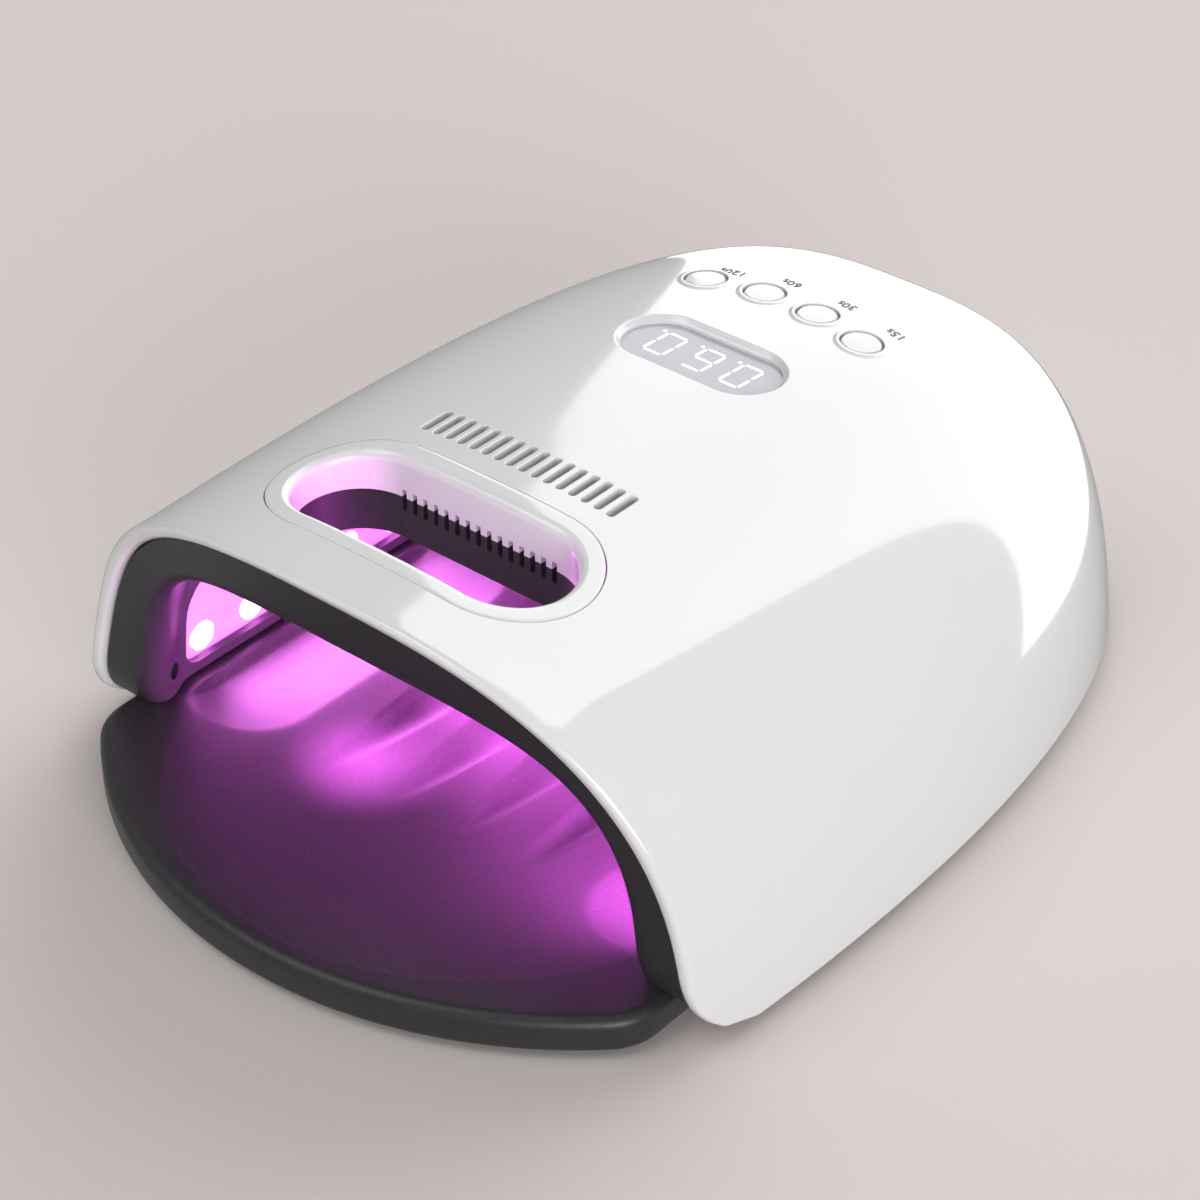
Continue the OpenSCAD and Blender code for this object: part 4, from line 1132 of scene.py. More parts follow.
@dataclass
class Hood:
    """The white top shell with its openings and its rolled front edge."""

    wall: float = 3.0
    rim: float = 4.4
    edge: float = 1.8
    recess: float = 4.2
    blend: float = 1.5
    steps: tuple[int, int] = (44, 12)
    row_count: int = 64
    trim_reach: float = 6.5
    trim_low: float = 70.0
    under: float = 72.0
    seat: float = 2.5
    vent_count: int = 16
    vent_pitch: float = 4.0
    vent_y: float = 60.0
    vent_span: float = 8.3
    vent_r: float = 1.1
    button_r: float = 6.6
    button_depth: tuple[float, float] = (-12, 3)
    panel_low: Pair = (-20, 236)
    panel_high: Pair = (20, 250)
    panel_r: float = 0.6
    panel_z: Pair = (5.9, 18.5)

    def build(self) -> bpy.types.Object:
        """Makes the shell and cuts its openings.

        Returns:
            The finished object.
        """
        shell = shell_form(self.skin(0.0, False), self.skin(self.wall, True)).object("hood_shell")
        tools = [self.slot(), self.display(), *self.vents(), *self.button_holes(), self.back()]
        carve(shell, join_forms(tools))
        smooth(shell, 30, [(HOOD, 0.0), (HOOD, self.wall)])
        return shell

    def skin(self, inset: float, inside: bool) -> Array:
        """Sections of the outer or the inner skin, with the rolled edge in front.

        Args:
            inset: how far the skin is drawn in.
            inside: whether it is the inner skin.

        Returns:
            The stack of sections.
        """
        made = []
        for turn in quarter_turn(10):
            depth = self.edge * (1 - math.sin(turn))
            roll = self.rim - depth if inside else depth
            made.append(HOOD.section(self.edge * (1 - math.cos(turn)), roll, HOOD.RIM_Z, *self.steps))
        settled = self.recess + self.blend
        made.append(HOOD.section(self.recess, self.rim if inside else 0, HOOD.RIM_Z, *self.steps))
        made.append(HOOD.section(self.recess if inside else settled, inset, HOOD.RIM_Z, *self.steps))
        made += rows(HOOD, settled, inset, HOOD.RIM_Z, self.row_count, self.steps)
        return np.array(made)

    def slot(self) -> Form:
        """Hole for the handle trim."""
        outline = capsule(SLOT_AT, SLOT_SPAN, SLOT_R + self.trim_reach, 40)
        return crown_tool(outline, [(self.trim_low, 0)], [(0.14, 0), (0.03, 0.04), (-0.02, 0.14)])

    def display(self) -> Form:
        """Flared opening over the display window, with a wider seat under it.

        Returns:
            The cutter.
        """
        outline = capsule(DISPLAY_AT, DISPLAY_SPAN, DISPLAY_R, 40)
        low = [(self.under, self.seat), (DISPLAY_Z, self.seat), (DISPLAY_Z, 0), (DISPLAY_Z + 0.8, 0.05)]
        return crown_tool(outline, low, [(0.75, 0.85), (0.35, 1.1), (0.1, 1.4), (-0.02, 1.8)])

    def vents(self) -> list[Form]:
        """Row of slots over the fan space.

        Returns:
            A cutter for each slot.
        """
        made = []
        for i in range(self.vent_count):
            x = (i - (self.vent_count - 1) / 2) * self.vent_pitch
            outline = capsule((x, self.vent_y), self.vent_span, self.vent_r, 12, turned=True)
            made.append(crown_tool(outline, [(self.under, 0)], [(0.5, 0), (0.15, 0.08), (-0.02, 0.35)]))
        return made

    def button_holes(self) -> list[Form]:
        """Holes under the raised rings of the buttons.

        Returns:
            A cutter for each hole.
        """
        made = []
        for x, y in BUTTONS.values():
            form = Form()
            form.lathe([(self.button_r, depth) for depth in self.button_depth], crown_place(x, y))
            made.append(form)
        return made

    def back(self) -> Form:
        """Opening for the rear panel."""
        outline = rounded_box(self.panel_low, self.panel_high, [self.panel_r] * 4, 4)
        return prism_form(outline, *((z, 0) for z in self.panel_z))


@dataclass
class ButtonRings:
    """Raised rings round the four buttons, blended into the crown."""

    hole: float = 6.05
    height: float = 0.38
    outer: float = 7.8
    blend: float = 1.1
    skin: float = 0.012
    skirt: float = 0.6
    depth: float = 0.5
    wall: float = 1.0
    sides: int = 96

    def build(self) -> bpy.types.Object:
        """Makes the four rings as one piece.

        Returns:
            The finished object.
        """
        form = Form()
        for x, y in BUTTONS.values():
            form.loft(self.rings(crown_place(x, y)), looped=True)
        made = form.object("button_rings")
        smooth(made, 50)
        return made

    def rings(self, place: Place) -> Array:
        """Rings of one section, from the skirt over the ring and down into the hole.

        Args:
            place: the button's place on the crown.

        Returns:
            The rings in order.
        """
        turns = np.linspace(0, 2 * math.pi, self.sides, endpoint=False)
        slope = np.linspace(self.outer, self.outer - self.blend, 9)
        share = (self.outer - slope) / self.blend
        profile = [(self.outer, -self.skirt)]
        profile += [(r, self.skin + self.height * ease(s)) for r, s in zip(slope, share)]
        profile += [(self.hole + 0.3, self.height + 0.02), (self.hole + 0.08, self.height)]
        profile += [(self.hole + 0.02, self.height - 0.02), (self.hole, self.height - 0.08)]
        profile += [(self.hole, -self.depth), (self.hole + self.wall, -self.depth)]
        made = []
        for radius, height in profile:
            flat = place.put(np.column_stack([radius * np.cos(turns), radius * np.sin(turns), 0 * turns]))
            flat[:, 2] = crown_z(flat[:, 0], flat[:, 1]) + height
            made.append(flat)
        return np.array(made)


@dataclass
class HandleTrim:
    """White trim round the handle slot: a ring that follows the crown and rolls down into the slot."""

    width: float = 6.2
    plate: float = 2.4
    fillet: float = 2.6
    wall: float = 2.0
    well_z: float = 83.5
    slot_count: int = 15
    slot_pitch: float = 3.5
    slot_half: float = 0.79
    slot_r: float = 0.3
    slot_y: Pair = (38.5, 46.5)
    slot_z: Pair = (79.72, 85.72)

    def build(self) -> bpy.types.Object:
        """Makes the trim and cuts the breathing slots in its wall.

        Returns:
            The finished object.
        """
        outline = capsule(SLOT_AT, SLOT_SPAN, SLOT_R, 56)
        rings = []
        for grow, drop, in_well in self.profile():
            plan = outline[:, :2] + outline[:, 2:4] * grow
            top = crown_z(plan[:, 0], plan[:, 1])
            height = np.full(len(plan), self.well_z) if in_well else top - drop
            rings.append(np.column_stack([plan, height]))
        form = Form()
        form.loft(np.array(rings), looped=True)
        made = form.object("handle_trim")
        carve(made, self.breathing_slots())
        smooth(made, 35)
        return made

    def profile(self) -> list[tuple[float, float, bool]]:
        """The ring's section, from its outer edge over the top and down into the slot.

        Returns:
            Growths beyond the slot, drops below the crown, and whether the height is the well's.
        """
        outer = self.width
        made = [(outer, self.plate, False), (outer, 0.2, False), (outer - 0.04, 0.05, False)]
        made += [(outer - 0.15, 0.0, False), (outer - 0.9, 0.0, False)]
        for turn in quarter_turn(11):
            made.append((self.fillet * (1 - math.sin(turn)), self.fillet * (1 - math.cos(turn)), False))
        made += [(0.0, 0.0, True), (self.wall, 0.0, True), (self.wall, self.plate, False)]
        return made

    def breathing_slots(self) -> Form:
        """Row of slots through the back wall of the well.

        Returns:
            The cutters as one form.
        """
        made = Form()
        low, high = self.slot_y
        for i in range(self.slot_count):
            x = (i - (self.slot_count - 1) / 2) * self.slot_pitch
            ends = (x - self.slot_half, low), (x + self.slot_half, high)
            made.prism(rounded_box(*ends, [self.slot_r] * 4, 3), [(z, 0) for z in self.slot_z])
        return made


# Hand chamber


@dataclass
class Liner:
    """The dark liner of the hand chamber, with its rolled mouth, windows and foot."""

    thick: float = 2.2
    recess: float = 4.5
    face: float = 1.6
    bead: float = 3.4
    settle: float = 18.0
    mouth: float = 5.0
    low: float = 12.4
    flange: float = 9.0
    flange_inset: float = 3.3
    steps: tuple[int, int] = (40, 14)
    row_count: int = 44
    window_low: Pair = (18.6, 15.4)
    window_high: Pair = (128.9, 52.4)
    window_radii: Sequence[float] = (5, 5, 5, 20)
    window_x: Pair = (73.5, 87.4)
    ceiling_low: Pair = (-46, 57)
    ceiling_high: Pair = (46, 103)
    ceiling_r: float = 8.0
    ceiling_z: Pair = (66.5, 78.5)
    slot_gap: float = 2.3
    slot_z: Pair = (64.5, 78.5)
    sensor_at: Spot = (78.5, 12.8, 18.8)
    sensor_r: float = 2.3
    sensor_depth: float = 12.0
    foot_end: float = 190.2
    plate_gap: float = 6.2

    def build(self) -> bpy.types.Object:
        """Makes the liner, cuts its windows and adds its foot.

        Returns:
            The finished object.
        """
        shell = shell_form(self.outer(), self.inner()).object("chamber_liner")
        carve(shell, join_forms([*self.windows(), self.ceiling(), self.slot(), *self.sensor_holes()]))
        merge(shell, self.foot())
        smooth(shell, 35, [(CHAMBER, 0.0), (CHAMBER, -self.thick)])
        return shell

    def ring(self, y: float, inset: float) -> Array:
        """Section of the chamber at a length."""
        return CHAMBER.section(y, inset, self.low, *self.steps)

    def hood_ring(self, y: float, inset: float) -> Array:
        """Section of the hood at a length, down to the liner's own level."""
        return HOOD.section(y, inset, self.low, *self.steps)

    def settling(self) -> Array:
        """Shares of the way from the mouth to where the walls have settled."""
        return np.linspace(0, 1, 9)[1:]

    def inner(self) -> Array:
        """Sections of the visible side: the flange, its step up to the face, the lip and the chamber.

        Returns:
            The stack of sections.
        """
        step = [self.hood_ring(y, inset) for y, inset in
                ((self.recess, 4.7), (self.face + 0.3, 4.75), (self.face, 5.1))]
        lip = self.ring(self.face, self.bead - self.mouth)
        made = step + [step[-1] * (1 - s) + lip * s for s in (1 / 3, 2 / 3)]
        for turn in quarter_turn(12):
            made.append(self.ring(self.face + self.mouth * (1 - math.cos(turn)),
                                  self.bead + self.mouth * (math.sin(turn) - 1)))
        start = self.face + self.mouth
        for share in self.settling():
            made.append(self.ring(start + (self.settle - start) * share, self.bead * (1 - ease(share))))
        return np.array(made + rows(CHAMBER, self.settle, 0, self.low, self.row_count, self.steps))

    def outer(self) -> Array:
        """Sections of the hidden side, one for each section of the visible side.

        Returns:
            The stack of sections.
        """
        skin = self.mouth - self.thick
        made = [self.hood_ring(self.recess + 0.02 * k, self.flange_inset) for k in range(3)]
        made += [self.hood_ring(self.recess + self.thick * k, self.flange_inset) for k in (0.5, 1)]
        for turn in quarter_turn(12):
            made.append(self.ring(self.recess + self.mouth - skin * math.cos(turn),
                                  skin * math.sin(turn) - self.mouth))
        start = self.recess + self.mouth
        for share in self.settling():
            made.append(self.ring(start + (self.settle - start) * share, -self.thick))
        return np.array(made + rows(CHAMBER, self.settle, -self.thick, self.low, self.row_count, self.steps))

    def windows(self) -> list[Form]:
        """Openings in front of the two side rows of LEDs.

        Returns:
            A cutter for each side.
        """
        outline = rounded_box(self.window_low, self.window_high, self.window_radii, 14)
        one = np.ones(len(outline))
        made = []
        for side in (-1, 1):
            form = Form()
            form.loft(np.array([np.column_stack([side * x * one, outline[:, :2]]) for x in self.window_x]))
            made.append(form)
        return made

    def ceiling(self) -> Form:
        """Opening below the ceiling LEDs."""
        outline = rounded_box(self.ceiling_low, self.ceiling_high, [self.ceiling_r] * 4, 12)
        return prism_form(outline, *((z, 0) for z in self.ceiling_z))

    def slot(self) -> Form:
        """Opening round the well of the handle."""
        outline = capsule(SLOT_AT, SLOT_SPAN, SLOT_R + self.slot_gap, 40)
        return prism_form(outline, *((z, 0) for z in self.slot_z))

    def sensor_holes(self) -> list[Form]:
        """Holes of the hand sensor in the legs.

        Returns:
            A cutter for each side.
        """
        x, y, z = self.sensor_at
        made = []
        for side in (-1, 1):
            form = Form()
            place = Place((side * x, y, z), (0, 1, 0), (side, 0, 0))
            form.lathe([(self.sensor_r, 0), (self.sensor_r, self.sensor_depth)], place, 32)
            made.append(form)
        return made

    def foot(self) -> bpy.types.Object:
        """Makes the plate under the legs that goes round the base plate.

        Returns:
            The plate as an object of its own.
        """
        start = float(HOOD.lean(np.array(self.recess + 1), np.array(self.low)))
        lengths = np.linspace(start, self.foot_end, 40)
        right = np.array([(CHAMBER.half_at(y, self.low, -self.flange), y) for y in lengths])
        plan = np.concatenate([right, right[::-1] * [-1, 1]])
        made = prism_form(np.column_stack([plan, 0 * plan]), (self.low, 0), (self.low + self.thick, 0))
        made = made.object("foot")
        carve(made, prism_form(plate_outline(self.plate_gap), (self.low - 1, 0), (self.low + 5, 0)))
        return made


# Base plate

# Circles of the plate's plan, as x, y and radius: its front, the blend into a side and a rear corner
PLATE_FRONT = (0.0, 79.25, 125.25)
PLATE_BLEND = (75.0, 0.5, 16.5)
PLATE_CORNER = (51.5, 132.0, 40.0)
# Longest straight step of the plan
PLATE_STEP = 3.0


def plate_outline(inset: float, fine: int = 1) -> Array:
    """Plan outline of the base plate.

    Args:
        inset: how far it is drawn in.
        fine: how many times finer than usual its arcs are.

    Returns:
        Rows of x and y with their outward normals.
    """
    left_blend, left_corner = (-PLATE_BLEND[0], *PLATE_BLEND[1:]), (-PLATE_CORNER[0], *PLATE_CORNER[1:])
    meet = math.degrees(math.atan2(PLATE_BLEND[1] - PLATE_FRONT[1], PLATE_BLEND[0] - PLATE_FRONT[0]))
    arcs = [(PLATE_BLEND, meet, 0.0, 12), (PLATE_CORNER, 0.0, 90.0, 30), (left_corner, 90.0, 180.0, 30),
            (left_blend, 180.0, 180.0 - meet, 12), (PLATE_FRONT, 180.0 - meet, 360.0 + meet, 90)]
    made = []
    for (x, y, radius), start, end, steps in arcs:
        for angle in np.radians(np.linspace(start, end, steps * fine + 1)[:-1]):
            across, ahead = math.cos(angle), math.sin(angle)
            made.append((x + radius * across, y + radius * ahead, across, ahead))
    made = np.array(made)
    filled = []
    for row, after in zip(made, np.roll(made, -1, axis=0)):
        count = max(int(np.linalg.norm(after[:2] - row[:2]) / PLATE_STEP), 1)
        filled += [row * (1 - k / count) + after * (k / count) for k in range(count)]
    filled = np.array(filled)
    filled[:, 2:4] /= np.linalg.norm(filled[:, 2:4], axis=1, keepdims=True)
    filled[:, :2] -= filled[:, 2:4] * inset
    return filled


@dataclass
class Plate:
    """The removable base plate: a dish with four finger grooves and two thumb rests."""

    top: float = 12.0
    low: float = 2.0
    edge: float = 3.0
    under: float = 2.0
    middle: Pair = (0.0, 60.0)
    dish_r: float = 82.0
    dish_depth: float = 3.0
    dish_y: float = 42.0
    groove_r: float = 12.0
    groove_half: float = 110.0
    groove_x: Sequence[float] = (-31.5, -10.5, 10.5, 31.5)
    groove_y: float = 72.0
    groove_depth: float = 2.8
    thumb_r: float = 50.0
    thumb_x: float = 66.0
    thumb_y: Pair = (29.0, 95.0)
    thumb_depth: float = 3.1
    fade_x: float = 78.5
    fade_width: float = 4.0
    fade_lift: float = 3.0
    soft: float = 0.16
    pocket_count: int = 4
    pocket_pitch: float = 34.0
    pocket_first: float = 10.0
    pocket_half: float = 14.0
    pocket_x: Pair = (2.5, 42.5)
    pocket_z: Pair = (0.5, 4.2)

    # Rings of the top, the share of the way to the edge at which they start, and their crowding
    TOP_RINGS = 110
    TOP_START = 0.002
    TOP_CROWDING = 0.9
    # Share of the flat top above which it counts as uncut
    UNCUT = 0.999

    def build(self) -> bpy.types.Object:
        """Makes the plate and its underside.

        Returns:
            The finished object.
        """
        rings = []
        for share in np.linspace(self.TOP_START, 1, self.TOP_RINGS) ** self.TOP_CROWDING:
            plan = self.scaled(share)
            rings.append(np.column_stack([plan, self.height(plan[:, 0], plan[:, 1])]))
        outline = plate_outline(0.0, 2)
        for turn in quarter_turn(12)[1:]:
            rings.append(self.ring(outline, self.edge * (1 - math.sin(turn)),
                                   self.top - self.edge * (1 - math.cos(turn))))
        for turn in quarter_turn(8):
            rings.append(self.ring(outline, self.under * (1 - math.cos(turn)),
                                   self.low + self.under * (1 - math.sin(turn))))
        form = Form()
        form.loft(np.array(rings))
        made = form.object("plate_moulding")
        carve(made, self.pockets())
        smooth(made, 40)
        return made

    def scaled(self, share: float) -> Array:
        """The inset outline shrunk toward the middle of the plate."""
        outline = plate_outline(self.edge, 2)[:, :2]
        return np.array(self.middle) + (outline - self.middle) * share

    @staticmethod
    def ring(outline: Array, inset: float, height: float) -> Array:
        """One level of the plate's rounded side."""
        plan = outline[:, :2] - outline[:, 2:4] * inset
        return np.column_stack([plan, np.full(len(plan), height)])

    def dish(self, x: Array, y: Array) -> Array:
        """Height of the shallow dish.

        Args:
            x: distances across, from the middle.
            y: lengths from the hood's front edge.

        Returns:
            The height at each point.
        """
        ball = (self.dish_r**2 + self.dish_depth**2) / (2 * self.dish_depth)
        reach = np.minimum(x**2 + (y - self.dish_y) ** 2, ball**2)
        return self.top - self.dish_depth + ball - np.sqrt(ball**2 - reach)

    def groove(self, x: Array, y: Array, at: float) -> Array:
        """Height of one finger groove.

        Args:
            x: distances across, from the middle.
            y: lengths from the hood's front edge.
            at: distance of the groove's middle line.

        Returns:
            The height at each point, or that of the groove's axis beside it.
        """
        ball = (self.groove_half**2 + self.groove_r**2) / (2 * self.groove_r)
        axis = float(self.dish(np.array(at), np.array(self.groove_y))) + self.groove_r - self.groove_depth
        radius = self.groove_r - ball + np.sqrt(np.maximum(ball**2 - (y - self.groove_y) ** 2, 0))
        inside = np.maximum(radius, 0) ** 2 - (x - at) ** 2
        return np.where(inside > 0, axis - np.sqrt(np.maximum(inside, 0)), axis)

    def thumb(self, x: Array, y: Array) -> Array:
        """Height of the two thumb rests.

        Args:
            x: distances across, from the middle.
            y: lengths from the hood's front edge.

        Returns:
            The height at each point.
        """
        front, back = self.thumb_y
        axis = float(self.dish(np.array(self.thumb_x), np.array(front))) + self.thumb_r - self.thumb_depth
        beyond = np.maximum(np.maximum(front - y, y - back), 0)
        reach = self.thumb_r**2 - (np.abs(x) - self.thumb_x) ** 2 - beyond**2
        made = axis - np.sqrt(np.maximum(reach, 0))
        fade = np.clip((np.abs(x) - self.fade_x) / self.fade_width, 0, 1)
        return made + ease(fade) * self.fade_lift

    def height(self, x: Array, y: Array) -> Array:
        """Height of the top, with its creases softened.

        Args:
            x: distances across, from the middle.
            y: lengths from the hood's front edge.

        Returns:
            The height at each point.
        """
        parts = [np.full_like(x, self.top), self.dish(x, y), self.thumb(x, y)]
        stack = np.array(parts + [self.groove(x, y, at) for at in self.groove_x])
        least = stack.min(axis=0)
        blended = least - self.soft * np.log(np.exp(-(stack - least) / self.soft).sum(axis=0))
        return blended + self.lift(stack, least)

    def lift(self, stack: Array, least: Array) -> Array:
        """What keeps the softened height at the flat top where nothing is cut.

        Args:
            stack: heights of the flat top and of all that is cut into it.
            least: the lowest of them.

        Returns:
            What is added to the softened height at each point.
        """
        others = np.exp(-(stack[1:] - least) / self.soft).sum(axis=0)
        flat = np.exp(-(stack[0] - least) / self.soft)
        return self.soft * np.log1p(others / np.maximum(flat, TINY)) * (flat > self.UNCUT)

    def pockets(self) -> Form:
        """Hollows of the underside.

        Returns:
            The cutters as one form.
        """
        form = Form()
        close, far = self.pocket_x
        for side in (-1, 1):
            for k in range(self.pocket_count):
                middle = self.pocket_first + self.pocket_pitch * k
                low = (min(side * close, side * far), middle - self.pocket_half)
                high = (max(side * close, side * far), middle + self.pocket_half)
                form.prism(rounded_box(low, high, [1.5] * 4, 4), [(z, 0) for z in self.pocket_z])
        return form


# Display and labels


@dataclass
class Digits:
    """Three seven-segment digits with their points, read from behind the lamp."""

    reading: str = "060"
    places: Sequence[float] = (12.5, 0.2, -12.5)
    middle_y: float = 128.4
    width: float = 6.2
    height: float = 10.3
    bar: float = 0.80
    gap: float = 0.40
    tip: float = 0.6
    slant: float = 0.075
    point_gap: float = 1.6
    point_r: float = 0.55
    sunk: float = 0.2
    raised: float = 0.03

    SHAPES = {"0": "abcdef", "6": "acdefg"}

    def build(self) -> bpy.types.Object:
        """Makes the lit segments as thin plates on the display window.

        Returns:
            The finished object.
        """
        form = Form()
        for place, digit in zip(self.places, self.reading):
            for name in self.SHAPES[digit]:
                self.plate(form, place, self.segment(name))
            self.plate(form, place, self.point())
        return form.object("display_digits")

    def segment(self, name: str) -> Array:
        """Outline of one segment.

        Args:
            name: its letter, from a at the top round to f, with g in the middle.

        Returns:
            Its corners about the digit's middle, as its reader sees them.
        """
        w, h = self.width / 2, self.height / 2
        bars = {"a": (-w, h, w, h), "g": (-w, 0, w, 0), "d": (-w, -h, w, -h), "f": (-w, 0, -w, h),
                "e": (-w, -h, -w, 0), "b": (w, 0, w, h), "c": (w, -h, w, 0)}
        x0, y0, x1, y1 = bars[name]
        start, end = np.array([x0, y0], float), np.array([x1, y1], float)
        along = (end - start) / np.linalg.norm(end - start)
        side = np.array([-along[1], along[0]]) * (self.bar / 2)
        start, end = start + along * self.gap, end - along * self.gap
        tip = along * (self.bar / 2) * self.tip
        return np.array([start, start + tip + side, end - tip + side, end, end - tip - side,
                         start + tip - side])

    def point(self) -> Array:
        """Outline of the decimal point.

        Returns:
            Its corners about the digit's middle, as its reader sees them.
        """
        turns = np.linspace(0, 2 * math.pi, 16, endpoint=False)
        centre = np.array([self.width / 2 + self.point_gap, -self.height / 2])
        return centre + self.point_r * np.column_stack([np.cos(turns), np.sin(turns)])

    def plate(self, form: Form, place: float, corners: Array) -> None:
        """Adds a thin plate; the reader's right is -X and up is -Y.

        Args:
            form: the form that it goes into.
            place: distance across of the digit's middle.
            corners: its outline, as its reader sees it.
        """
        x = place - corners[:, 0] - corners[:, 1] * self.slant
        y = self.middle_y - corners[:, 1]
        flat = np.column_stack([x, y, 0 * x, 0 * x])
        form.prism(flat, [(DISPLAY_Z - self.sunk, 0), (DISPLAY_Z + self.raised, 0)])


@dataclass(frozen=True)
class Label:
    """A time printed on the crown behind its button, turned to be read from behind the lamp."""

    words: str
    x: float
    y: float
    turn: float = 0.0

    SIZE = 4.3
    THICK = 0.03
    LIFT = 0.08

    def build(self) -> bpy.types.Object:
        """Makes the print, laid on the crown.

        Returns:
            The finished object.
        """
        curve = bpy.data.curves.new("label", "FONT")
        curve.body = self.words
        curve.size = self.SIZE
        curve.align_x = "CENTER"
        curve.align_y = "CENTER"
        curve.extrude = self.THICK
        source = bpy.data.objects.new("label", curve)
        bpy.context.scene.collection.objects.link(source)
        graph = bpy.context.evaluated_depsgraph_get()
        mesh = bpy.data.meshes.new_from_object(source.evaluated_get(graph))
        bpy.data.objects.remove(source)
        turn = math.radians(180 + self.turn)
        cosine, sine = math.cos(turn), math.sin(turn)
        for vertex in mesh.vertices:
            across, up, lift = vertex.co
            x = self.x + across * cosine - up * sine
            y = self.y + across * sine + up * cosine
            z = float(crown_z(np.array(x), np.array(y))) + lift + self.LIFT
            vertex.co = (x * MM, (y - MID_Y) * MM, z * MM)
        made = bpy.data.objects.new("label_" + self.words, mesh)
        bpy.context.scene.collection.objects.link(made)
        return made


LABELS = (Label("120s", -23.5, 170.8, 8), Label("60s", -7.8, 176.4, 4), Label("30s", 10.6, 176.4, 0),
          Label("15s", 28.7, 173.6, -2))


# Screws, repeated by Geometry Nodes


class Tree(Nodes):
    """A Geometry Nodes tree while it is being laid out, with named inputs for its sizes."""

    SIDES = 40

    def __init__(self, name: str, sizes: Sequence[str]) -> None:
        """Starts a tree.

        Args:
            name: its name.
            sizes: the names of its sizes.
        """
        super().__init__(bpy.data.node_groups.new(name, "GeometryNodeTree"))
        kinds = {"Places": "Geometry", **dict.fromkeys(sizes, "Float"), "Seed": "Int",
                 "Finish": "Material"}
        face = self.tree.interface
        self.keys = {}
        for key, kind in kinds.items():
            socket = face.new_socket(key, in_out="INPUT", socket_type="NodeSocket" + kind)
            self.keys[key] = socket.identifier
        face.new_socket("Geometry", in_out="OUTPUT", socket_type="NodeSocketGeometry")
        start = self.tree.nodes.new("NodeGroupInput")
        self.given = {socket.name: Sock(self, socket) for socket in start.outputs if socket.name in kinds}
        self.end = self.tree.nodes.new("NodeGroupOutput")

    def vector(self, x: "Sock | float", y: "Sock | float", z: "Sock | float") -> Sock:
        """A vector from three numbers."""
        return self.node("ShaderNodeCombineXYZ", "Vector", x=x, y=y, z=z)

    def moved(self, shape: Sock, z: "Sock | float", scale: "Sock | tuple" = (1, 1, 1)) -> Sock:
        """A shape, scaled and then lifted."""
        return self.node("GeometryNodeTransform", "Geometry", geometry=shape,
                         translation=self.vector(0, 0, z), scale=scale)

    def drum(self, radius: Sock, low: "Sock | float", depth: Sock) -> Sock:
        """A round bar that stands on a level."""
        bar = self.node("GeometryNodeMeshCylinder", "Mesh", {"fill_type": "NGON"}, vertices=self.SIDES,
                        radius=radius, depth=depth)
        return self.moved(bar, depth * 0.5 + low)

    def cut(self, operation: str, **meshes: "Sock | list[Sock]") -> Sock:
        """A Boolean node on some meshes."""
        settings = {"operation": operation, "solver": "EXACT"}
        return self.node("GeometryNodeMeshBoolean", "Mesh", settings, **meshes)


